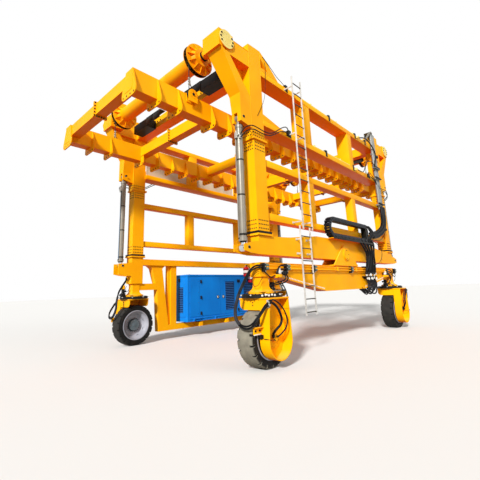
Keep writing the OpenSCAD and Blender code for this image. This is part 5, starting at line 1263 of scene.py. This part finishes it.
def chainLink(bm):
    # One link, unit metres: Z points out of the bend, X along the run
    h, w, p = 0.5 * chain["height"], 0.5 * (chain["far"] - chain["near"]), chain["pitch"]
    for sign in (-1, 1):
        y0, y1 = sorted((sign * w, sign * (w - 0.012)))
        addBox(bm, (-0.54 * p, y0, -h), (0.36 * p, y1, h), 0.006)
        y0, y1 = sorted((sign * (w - 0.012), sign * (w - 0.022)))
        addBox(bm, (0.20 * p, y0, -h * 0.8), (0.62 * p, y1, h * 0.8), 0.005)
        lathe(bm, [(0.0, 0.0), (0.0, 0.016), (0.003, 0.016), (0.004, 0.0)], (-0.12 * p, sign * w, 0),
              (0, sign, 0), 8)
    for sign in (-1, 1):
        z0, z1 = sorted((sign * h, sign * (h - 0.012)))
        addBox(bm, (-0.34 * p, -w, z0), (0.22 * p, w, z1), 0.003)


shapes["link"] = shapeObject("chainLink", chainLink)


def chainPath():
    r = chain["outer"] - chain["height"] / 2
    middle, y = chain["low"] + chain["outer"], (chain["near"] + chain["far"]) / 2
    straight = chain["endX"] - chain["bendX"]
    total = 2 * straight + math.pi * r
    count = int(total / chain["pitch"])
    spots = []
    for i in range(count):
        d = (i + 0.5) * total / count
        if d < straight:
            spots.append(((chain["endX"] - d, y, middle + r), Vector((0, 0, 1)), Vector((-1, 0, 0)), 1.0))
        elif d < straight + math.pi * r:
            a = (d - straight) / r
            out = Vector((-math.sin(a), 0, math.cos(a)))
            along = Vector((-math.cos(a), 0, -math.sin(a)))
            spots.append((Vector((chain["bendX"], y, middle)) + out * r, out, along, 1.0))
        else:
            d -= straight + math.pi * r
            spots.append(((chain["bendX"] + d, y, middle - r), Vector((0, 0, -1)), Vector((1, 0, 0)), 1.0))
    return spots


links = repeat("energyChainLinks", shapes["link"], chainPath(), "pivot_side_base", "plastic")
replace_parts(links, "energy_chain")
bm = bmesh.new()
for z in (2.875, 3.475):
    sign = 1 if z < 3 else -1
    z0, z1 = sorted((z, z + sign * 0.012))
    addBox(bm, (chain["bracketX"] - 0.125, -3.015, z0), (chain["bracketX"], -2.845, z1), 0.003)
addBox(bm, (chain["bracketX"] - 0.012, -3.015, 2.875), (chain["bracketX"], -2.845, 3.475), 0.004)
for y in (-3.015, -2.857):
    addBox(bm, (chain["bracketX"] - 0.085, y, 2.98), (chain["bracketX"], y + 0.012, 3.37), 0.004)
meshPiece("chainEndBracket", bm, "pivot_side_base", "blackSteel", 30)
spots = []
for y in (-2.97, -2.89):
    spots += row((chain["bracketX"], y, 2.93), (chain["bracketX"], y, 3.42), 6, (1, 0, 0), 0.01)
repeat("chainEndBolts", shapes["hex"], spots, "pivot_side_base", "zinc")
bm = bmesh.new()
addBox(bm, (-0.97, -3.04, 2.835), (1.75, -3.03, 2.89), 0.003)
meshPiece("chainTrayLip", bm, "pivot_side_base", "blackSteel", 30)
print("chain made")

# Lifting frame: bolts round the middle flanges, dark holes, welds, rope sockets and clips
spots, seams, bores = [], [], bmesh.new()
for x in (-6.275, -4.18, -1.42, 1.42, 4.18, 6.275):
    for way in (-1, 1):
        for i in range(5):
            for edge in (-1, 1):
                spots.append(((x + edge * 0.143, way * 0.025, 5.735 + 0.083 * i), Vector((0, way, 0)),
                              Vector((0, 0, 1)), 0.017))
        for i in range(4):
            for z in (5.727, 6.072):
                spots.append(((x - 0.085 + 0.057 * i, way * 0.025, z), Vector((0, way, 0)),
                              Vector((0, 0, 1)), 0.017))
        for edge in (-0.12, 0.12):
            seams.append([(x + edge, way * 0.026, 5.75), (x + edge, way * 0.026, 6.05)])
            seams.append([(x + edge, way * 1.509, 5.75), (x + edge, way * 1.509, 6.05)])
        seams.append([(x - 0.12, way * 0.026, 5.75), (x + 0.12, way * 0.026, 5.75)])
        seams.append([(x - 0.12, way * 1.509, 5.75), (x + 0.12, way * 1.509, 5.75)])
repeat("barFlangeBolts", shapes["nut"], spots, "lifting_frame", "blackSteel", 3.0)
hangerX = [0.285 + 0.57 * i for i in range(8)] + [5.28, 5.82, 6.4075]
for ex in (-1, 1):
    for x in hangerX:
        for sy in (-1, 1):
            for d in (-0.21, -0.07, 0.07, 0.21):
                centre = Vector((ex * x, sy * 1.65 + d, 5.51))
                lathe(bores, [(-0.0132, 0.0165), (-0.0132, 0.0235), (0.0132, 0.0235), (0.0132, 0.0165)],
                      centre,
                      (1, 0, 0), 12, closed=True)
            seams.append([(ex * x - 0.0135, sy * 1.79, 5.62), (ex * x - 0.0135, sy * 1.79, 6.07)])
            seams.append([(ex * x - 0.0135, sy * 1.51, 5.60), (ex * x - 0.0135, sy * 1.79, 5.60)])
meshPiece("hangerBushes", bores, "lifting_frame", "oldGrease", 30)
welds("liftingFrameWelds", seams, "lifting_frame", 0.006, 0.08)
for key, end, side, ex, sy in legs:
    bm, white, spots = bmesh.new(), bmesh.new(), []
    y = sy * 1.84
    x, z = ex * 4.93, 6.06
    lathe(bm, [(-0.028, 0.112), (-0.024, 0.142), (-0.012, 0.150), (0.012, 0.150), (0.024, 0.142),
               (0.028, 0.112)], (x, y, z), (0, 1, 0), 36, closed=True)
    for way in (-1, 1):
        lathe(bm, [(0.0, 0.0), (0.0, 0.036), (0.006, 0.036), (0.012, 0.028), (0.012, 0.0)],
              (x, y + way * 0.059, z), (0, way, 0), 20)
        spots += ring((x, y + way * 0.059, z), (0, way, 0), 0.088, 6, 0.009)
    meshPiece(key + "RopeThimble", bm, "lifting_frame", "black", 35)
    repeat(key + "AnchorBolts", shapes["hex"], spots, "lifting_frame", "orange")
    rope = [(x - ex * 0.09, y, z - 0.02), (x - ex * 0.082, y, z + 0.05), (x - ex * 0.03, y, z + 0.15),
            (x + ex * 0.045, y, z + 0.24), (x + ex * 0.067, y, z + 0.36), (x + ex * 0.067, y, z + 0.46)]
    hose(key + "RopeTail", rope, 0.010, "rope", "lifting_frame", step=0.03, sides=8, ends=False)
    for i in range(3):
        zz = z + 0.26 + 0.075 * i
        a, b = sorted((x + ex * 0.055, x + ex * 0.108))
        addBox(white, (a, y - 0.022, zz - 0.014), (b, y + 0.022, zz + 0.014), 0.006)
        for way in (-1, 1):
            lathe(white, [(0.0, 0.0), (0.0, 0.009), (0.03, 0.009), (0.03, 0.0)],
                  ((a + b) / 2, y + way * 0.012, zz - 0.015), (0, 0, -1), 6)
    meshPiece(key + "RopeClips", white, "lifting_frame", "zinc", 30)
print("lifting frame dressed")

# Hoist shafts: rope turns in the grooves, bolts on the rib rings, bearing rings
for end, ex in endSigns.items():
    shaft = end + "_hoist_shaft"
    for sy in (-1, 1):
        centre = Vector((ex * 4.74, sy * 1.84, 7.08))
        bm, turns = bmesh.new(), []
        for k in range(3):
            for i in range(48):
                a = 2 * math.pi * i / 48
                along = -0.036 + 0.022 * (k + i / 48)
                turns.append(centre + Vector((0.2808 * math.cos(a), along, 0.2808 * math.sin(a))))
        sweep(bm, turns, 0.0105, 8)
        meshPiece(f"{end}{'Pivot' if sy < 0 else 'Genset'}RopeTurns", bm, shaft, "rope", 50)
        spots = []
        for way in (-1, 1):
            spots += ring(centre + Vector((0, way * 0.0665, 0)), (0, way, 0), 0.34, 12, 0.012, math.pi / 12)
        repeat(f"{end}{'Pivot' if sy < 0 else 'Genset'}DrumBolts", shapes["hex"], spots, shaft, "blackSteel",
               3.0)
    bm = bmesh.new()
    for sy in (-1, 1):
        lathe(bm, [(0.0, 0.1051), (0.0, 0.118), (0.05, 0.118), (0.05, 0.1051)],
              (ex * 4.74, sy * 2.05, 7.08), (0, sy, 0), 32, closed=True)
        lathe(bm, [(0.0, 0.071), (0.0, 0.098), (0.03, 0.098), (0.03, 0.071)],
              (ex * 4.74, sy * 2.232, 7.08), (0, sy, 0), 32, closed=True)
    meshPiece(end + "ShaftRings", bm, shaft, "rubber", 35)
print("hoist dressed")

# Generator set: louvres, latches, hinges, bolt heads, plinth fittings, lifting eyes
gen = {"x": 1.93, "near": 2.22, "far": 3.12, "top": 2.14, "endLouvre": (2.475, 2.745)}


def louvreSlat(bm):
    # One pressed slat, unit length along X, leaning out of the wall (+Z)
    profile = [(0.0, -0.5), (0.42, -0.42), (0.5, -0.3), (0.0, 0.42)]
    lows, highs = [], []
    for z, y in profile:
        lows.append(bm.verts.new((-0.5, y, z)))
        highs.append(bm.verts.new((0.5, y, z)))
    for i in range(4):
        j = (i + 1) % 4
        bm.faces.new((lows[i], highs[i], highs[j], lows[j]))
    bm.faces.new(list(reversed(lows)))
    bm.faces.new(highs)


shapes["slat"] = shapeObject("louvreSlat", louvreSlat)
spots = []
panels = [("near", -0.09, 0.40, 0.80, 1.87), ("near", 0.95, 1.60, 0.80, 1.87),
          ("far", -1.60, -0.95, 0.80, 1.87), ("far", -0.40, 0.09, 0.80, 1.87)]
for face, x0, x1, z0, z1 in panels:
    y, way = (gen["near"], -1) if face == "near" else (gen["far"], 1)
    for i in range(16):
        z = z0 + (i + 0.5) * (z1 - z0) / 16
        spots.append((((x0 + x1) / 2, y, z), Vector((0, way, 0)), Vector((-way, 0, 0)),
                      (x1 - x0, 0.036, 0.034)))
for ex in (-1, 1):
    y0, y1 = gen["endLouvre"]
    for i in range(14):
        z = 0.82 + (i + 0.5) * 0.063
        spots.append(((ex * gen["x"], (y0 + y1) / 2, z), Vector((ex, 0, 0)), Vector((0, ex, 0)),
                      (y1 - y0, 0.036, 0.034)))
repeat("generatorLouvres", shapes["slat"], spots, "genset_side_base", "louvre")
# Dark sheets just behind the slats: painted shade in the louvre gaps
bm = bmesh.new()
for face, x0, x1, z0, z1 in panels:
    y, way = (gen["near"], -1) if face == "near" else (gen["far"], 1)
    a, b = sorted((y - way * 0.004, y + way * 0.003))
    addBox(bm, (x0, a, z0), (x1, b, z1), 0.001)
for ex in (-1, 1):
    a, b = sorted((ex * (gen["x"] - 0.004), ex * (gen["x"] + 0.003)))
    addBox(bm, (a, gen["endLouvre"][0], 0.82), (b, gen["endLouvre"][1], 1.70), 0.001)
meshPiece("louvreShadows", bm, "genset_side_base", "louvreGapShade", 30)
bm = bmesh.new()
for face, x0, x1, z0, z1 in panels:
    y, way = (gen["near"], -1) if face == "near" else (gen["far"], 1)
    y0, y1 = sorted((y - way * 0.002, y + way * 0.008))
    addBox(bm, (x0 - 0.02, y0, z0 - 0.03), (x0 - 0.002, y1, z1 + 0.03), 0.002)
    addBox(bm, (x1 + 0.002, y0, z0 - 0.03), (x1 + 0.02, y1, z1 + 0.03), 0.002)
    addBox(bm, (x0 - 0.02, y0, z1 + 0.012), (x1 + 0.02, y1, z1 + 0.03), 0.002)
    addBox(bm, (x0 - 0.02, y0, z0 - 0.03), (x1 + 0.02, y1, z0 - 0.012), 0.002)
for x in (-1.75, 1.75):
    for y in (2.34, 3.0):
        lathe(bm, [(0.0, 0.0), (0.0, 0.03), (0.012, 0.03), (0.012, 0.0)], (x, y, gen["top"] - 0.001),
              (0, 0, 1), 12)
meshPiece("louvreFrames", bm, "genset_side_base", "blue", 30)
bm = bmesh.new()
for way, y in ((-1, gen["near"]), (1, gen["far"])):
    for x in (-1.325, 0.612, 0.70):
        for z in (1.89, 1.325, 0.775):
            if x == 0.70 and z < 1.5:
                continue
            y0, y1 = sorted((y, y + way * 0.026))
            addBox(bm, (-way * x - 0.032, y0, z - 0.055), (-way * x + 0.032, y1, z + 0.055), 0.008)
            lathe(bm, [(-0.06, 0.0), (-0.06, 0.013), (0.06, 0.013), (0.06, 0.0)],
                  (-way * x, y + way * 0.026, z), (0, 0, 1), 10)
addBox(bm, (-1.955, 2.64, 1.89), (-1.93, 2.76, 2.01), 0.006)
meshPiece("generatorHinges", bm, "genset_side_base", "black", 30)
bm, white = bmesh.new(), bmesh.new()
for way, y in ((-1, gen["near"]), (1, gen["far"])):
    for x in (-0.489, -0.204):
        c = (-way * x, y, 1.31)
        lathe(bm, [(0.0, 0.0), (0.0, 0.062), (0.006, 0.062), (0.01, 0.056), (0.01, 0.0)], c, (0, way, 0), 24)
        lathe(white, [(0.009, 0.0), (0.009, 0.042), (0.016, 0.04), (0.02, 0.03), (0.02, 0.0)], c,
              (0, way, 0), 20)
        addBox(bm, (c[0] - 0.01, min(y + way * 0.019, y + way * 0.032), 1.285),
               (c[0] + 0.01, max(y + way * 0.019, y + way * 0.032), 1.345), 0.004)
meshPiece("generatorLatchPlates", bm, "genset_side_base", "black", 30)
meshPiece("generatorLatchDials", white, "genset_side_base", "white", 30)
spots = []
for way, y in ((-1, gen["near"]), (1, gen["far"])):
    for x in (-1.845, -1.442):
        for z in (1.895, 1.51, 1.145, 0.778):
            spots.append(((-way * x, y, z), Vector((0, way, 0)), Vector((1, 0, 0)), 0.014))
    for x in (-1.5, -0.75, 0.0, 0.75, 1.5):
        spots.append(((x, y, 2.11), Vector((0, way, 0)), Vector((1, 0, 0)), 0.012))
for ex in (-1, 1):
    for z in (2.061, 1.804, 1.418, 1.048, 0.683):
        for y in (2.384, 2.96):
            spots.append(((ex * gen["x"], y, z), Vector((ex, 0, 0)), Vector((0, 1, 0)), 0.014))
repeat("generatorScrews", shapes["button"], spots, "genset_side_base", "louvre")
bm = bmesh.new()
for way, y in ((-1, gen["near"]), (1, gen["far"])):
    for x in (-1.65, -0.64, 0.37, 1.38):
        y0, y1 = sorted((y - way * 0.02, y + way * 0.035))
        addBox(bm, (x - 0.03, y0, 0.53), (x + 0.03, y1, 0.62), 0.006)
        addBox(bm, (x - 0.05, y0, 0.522), (x + 0.05, y1, 0.54), 0.004)
    y0, y1 = sorted((y - way * 0.002, y + way * 0.02))
    addBox(bm, (-1.86, y0, 0.60), (1.86, y1, 0.622), 0.006)
meshPiece("plinthBrackets", bm, "genset_side_base", "blue", 30)
print("generator dressed")

# Boxes on the cross beams, boards and extinguishers
boxSizes = {"face": legX + 0.5, "near": 0.56, "far": 1.36, "low": 6.73, "high": 7.01}
for key, end, side, ex, sy in legs:
    x1, y0, y1, z0, z1 = (boxSizes[k] for k in ("face", "near", "far", "low", "high"))
    bm, spots = bmesh.new(), []
    a, b = sorted((ex * x1, ex * (x1 + 0.008)))
    c, d = sorted((sy * (y0 + 0.02), sy * (y1 - 0.02)))
    middle = (c + d) / 2
    for p, q in ((c, middle - 0.004), (middle + 0.004, d)):
        addBox(bm, (a, p, z0 + 0.02), (b, q, z1 - 0.02), 0.004)
        spots += [((ex * (x1 + 0.008), y, z), Vector((ex, 0, 0)), Vector((0, 0, 1)), 0.008)
                  for y in (p + 0.025, q - 0.025) for z in (z0 + 0.045, z1 - 0.045)]
    a, b = sorted((ex * (x1 - 0.20), ex * (x1 + 0.012)))
    addBox(bm, (a, c - 0.012, z1 - 0.001), (b, d + 0.012, z1 + 0.006), 0.003)
    for i in range(5):
        y = c + (d - c) * (i + 0.5) / 5
        lathe(bm, [(0.0, 0.0), (0.0, 0.02), (0.012, 0.02), (0.014, 0.014), (0.035, 0.014), (0.035, 0.0)],
              (ex * (x1 - 0.07), y, z0), (0, 0, -1), 8)
    meshPiece(key + "BoxDoors", bm, "upper_frame", "black", 30)
    repeat(key + "BoxScrews", shapes["button"], spots, "upper_frame", "zinc")
bm, spots = bmesh.new(), []
for x0, x1 in ((-3.52, -1.785), (-1.245, 0.745)):
    for y, way in ((2.48, -1), (2.495, 1)):
        a, b = sorted((y, y + way * 0.006))
        for low, high in (((x0, a, 6.055), (x1, b, 6.08)), ((x0, a, 5.55), (x1, b, 5.575)),
                          ((x0, a, 5.575), (x0 + 0.025, b, 6.055)), ((x1 - 0.025, a, 5.575),
                                                                     (x1, b, 6.055))):
            addBox(bm, low, high, 0.002)
        for i in range(9):
            x = x0 + 0.0125 + (x1 - x0 - 0.025) * i / 8
            spots += [((x, y + way * 0.006, z), Vector((0, way, 0)), Vector((1, 0, 0)), 0.008)
                      for z in (5.5625, 6.0675)]
meshPiece("boardEdging", bm, "upper_frame", "cream", 30)
repeat("boardRivets", shapes["button"], spots, "upper_frame", "zinc")
for i, (x, low) in enumerate(((1.01, 2.07), (1.29, 1.82))):
    bm, dark, label = bmesh.new(), bmesh.new(), bmesh.new()
    y = 2.08
    for z in (0.005, 0.09):
        lathe(bm, [(0.0, 0.1202), (0.0, 0.123), (0.012, 0.123), (0.012, 0.1202)],
              (x, y, low + z), (0, 0, 1), 32, closed=True)
    for z in (0.10, 0.26):
        lathe(dark, [(0.0, 0.1202), (0.0, 0.1235), (0.025, 0.1235), (0.025, 0.1202)],
              (x, y, low + z), (0, 0, 1), 32, closed=True)
        addBox(dark, (x - 0.02, y + 0.119, low + z), (x + 0.02, y + 0.139, low + z + 0.025), 0.003)
    lathe(label, [(0.0, 0.1202), (0.0, 0.1215), (0.1, 0.1215), (0.1, 0.1202)],
          (x, y, low + 0.14), (0, 0, 1), 32, closed=True)
    lathe(dark, [(0.0, 0.0), (0.0, 0.028), (0.03, 0.03), (0.05, 0.022), (0.055, 0.0)], (x, y, low + 0.40),
          (0, 0, 1), 14)
    addBox(dark, (x - 0.012, y - 0.10, low + 0.445), (x + 0.012, y + 0.02, low + 0.46), 0.004)
    addBox(dark, (x - 0.012, y - 0.09, low + 0.41), (x + 0.012, y + 0.0, low + 0.422), 0.004)
    lathe(label, [(0.0, 0.0), (0.0, 0.018), (0.012, 0.018), (0.012, 0.0)], (x - 0.028, y, low + 0.42),
          (-1, 0, 0), 14)
    meshPiece(f"extinguisherRims{i}", bm, "genset_side_base", "red", 35)
    meshPiece(f"extinguisherStraps{i}", dark, "genset_side_base", "blackSteel", 35)
    meshPiece(f"extinguisherBand{i}", label, "genset_side_base", "white", 35)
    hose(f"extinguisherHose{i}", [(x + 0.03, y - 0.02, low + 0.425), (x + 0.10, y - 0.05, low + 0.42),
                                  (x + 0.145, y - 0.06, low + 0.34), (x + 0.14, y - 0.05, low + 0.22),
                                  (x + 0.132, y - 0.03, low + 0.08)], 0.010, "hose", "genset_side_base",
                                  step=0.03,
         sides=8)
print("boxes, boards and extinguishers dressed")

# Main weld seams: chords and posts at the heads, sleeves on their bases
seams = {"upper_frame": [], "pivot_side_base": [], "genset_side_base": []}
half = legX - 0.2
for sy in (-1, 1):
    faces = (sy * (legY + 0.165), sy * (legY - 0.165))
    for ex in (-1, 1):
        for y in faces:
            seams["upper_frame"] += [[(ex * half, y, z0), (ex * half, y, z1)]
                                     for z0, z1 in frameSizes["wideChords"]]
        for z in (4.55, 3.25):
            y0, y1 = sy * (legY - 0.125), sy * (legY + 0.125)
            seams["upper_frame"].append([(ex * half, y0, z), (ex * half, y1, z), (ex * half, y1, z - 0.17),
                                         (ex * half, y0, z - 0.17), (ex * half, y0, z)])
    for width, uprights, levels in (("wide", "upperPosts", (5.55, 6.75)),
                                    ("narrow", "lowerPosts", (3.25, 4.38))):
        y0, y1 = sorted(sy * y for y in frameSizes[width])
        seams["upper_frame"] += [loopAround(x0, x1, y0, y1, z) for x0, x1 in frameSizes[uprights]
                                 for z in levels]
for ex in (-1, 1):
    for sy in (-1, 1):
        y = sy * (legY - 0.165)
        seams["upper_frame"].append([(ex * (legX - 0.17), y, 6.77), (ex * (legX + 0.17), y, 6.77),
                                     (ex * (legX + 0.17), y, 7.11), (ex * (legX - 0.17), y, 7.11),
                                     (ex * (legX - 0.17), y, 6.77)])
        seams["pivot_side_base" if sy < 0 else "genset_side_base"].append(
            loopAround(ex * legX - 0.245, ex * legX + 0.245, sy * (legY - 0.2), sy * (legY + 0.2), 2.7005))
for body, lines in seams.items():
    welds(body + "MainWelds", lines, body, 0.0075, 0.06)
print("main welds laid")

# Lamps and floor
lightSizes = {"worldLevel": 0.42, "sunLevel": 4.7, "sunFrom": (-0.80, -0.37, 0.47), "sunAngle": 8.0,
              "fillLevel": 0.6, "fillFrom": (0.25, -0.85, 0.3), "fillAngle": 40.0}


def backdropWorld():
    world = bpy.data.worlds.new("paleStudio")
    world.use_nodes = True
    tree = world.node_tree
    tree.nodes.clear()
    path = addNode(tree, "ShaderNodeLightPath")
    seen = addNode(tree, "ShaderNodeMath", {"operation": "MAXIMUM"}, i0=path.outputs["Is Camera Ray"],
                   i1=path.outputs["Is Glossy Ray"])
    seen = addNode(tree, "ShaderNodeMath", {"operation": "MAXIMUM"}, i0=seen.outputs[0],
                   i1=path.outputs["Is Transmission Ray"])
    soft = addNode(tree, "ShaderNodeBackground", None, Color=srgb("#F4F6F8"),
                   Strength=lightSizes["worldLevel"])
    shown = addNode(tree, "ShaderNodeBackground", None, Color=srgb("#FFFFFF"), Strength=1.0)
    mix = addNode(tree, "ShaderNodeMixShader", None, i0=seen.outputs[0], i1=soft.outputs[0],
                  i2=shown.outputs[0])
    out = addNode(tree, "ShaderNodeOutputWorld", None, Surface=mix.outputs[0])
    bpy.context.scene.world = world


backdropWorld()
for lampName, level, origin, angle in (
        ("keySun", lightSizes["sunLevel"], lightSizes["sunFrom"], lightSizes["sunAngle"]),
        ("fillSun", lightSizes["fillLevel"], lightSizes["fillFrom"], lightSizes["fillAngle"])):
    lamp = bpy.data.lights.new(lampName, "SUN")
    lamp.energy = level
    lamp.angle = math.radians(angle)
    lampObj = bpy.data.objects.new(lampName, lamp)
    lampObj.rotation_euler = Vector(origin).to_track_quat("Z", "Y").to_euler()
    bpy.context.scene.collection.objects.link(lampObj)


def makeFloor():
    # Pale to the eye, darker to bounced light, so that undersides stay in shade
    mat, tree, shader, place = newMaterial("paleStudioFloor", 0.9)
    path = addNode(tree, "ShaderNodeLightPath")
    bounced = blendColour(tree, path.outputs["Is Diffuse Ray"], srgb("#E9E7E3"), srgb("#8C8880"))
    tree.links.new(bounced, shader.inputs["Base Color"])
    bm = bmesh.new()
    lathe(bm, [(0.0, 0.0), (0.0, 140.0)], (0, 0, 0), (0, 0, 1), 64)
    mesh = bpy.data.meshes.new("studioFloor")
    bmesh.ops.recalc_face_normals(bm, faces=bm.faces)
    bm.to_mesh(mesh)
    bm.free()
    floor = bpy.data.objects.new("studioFloor", mesh)
    mesh.materials.append(mat)
    bpy.context.scene.collection.objects.link(floor)


makeFloor()
bpy.context.scene.view_settings.view_transform = "Standard"
print("camera, lamps and floor set")
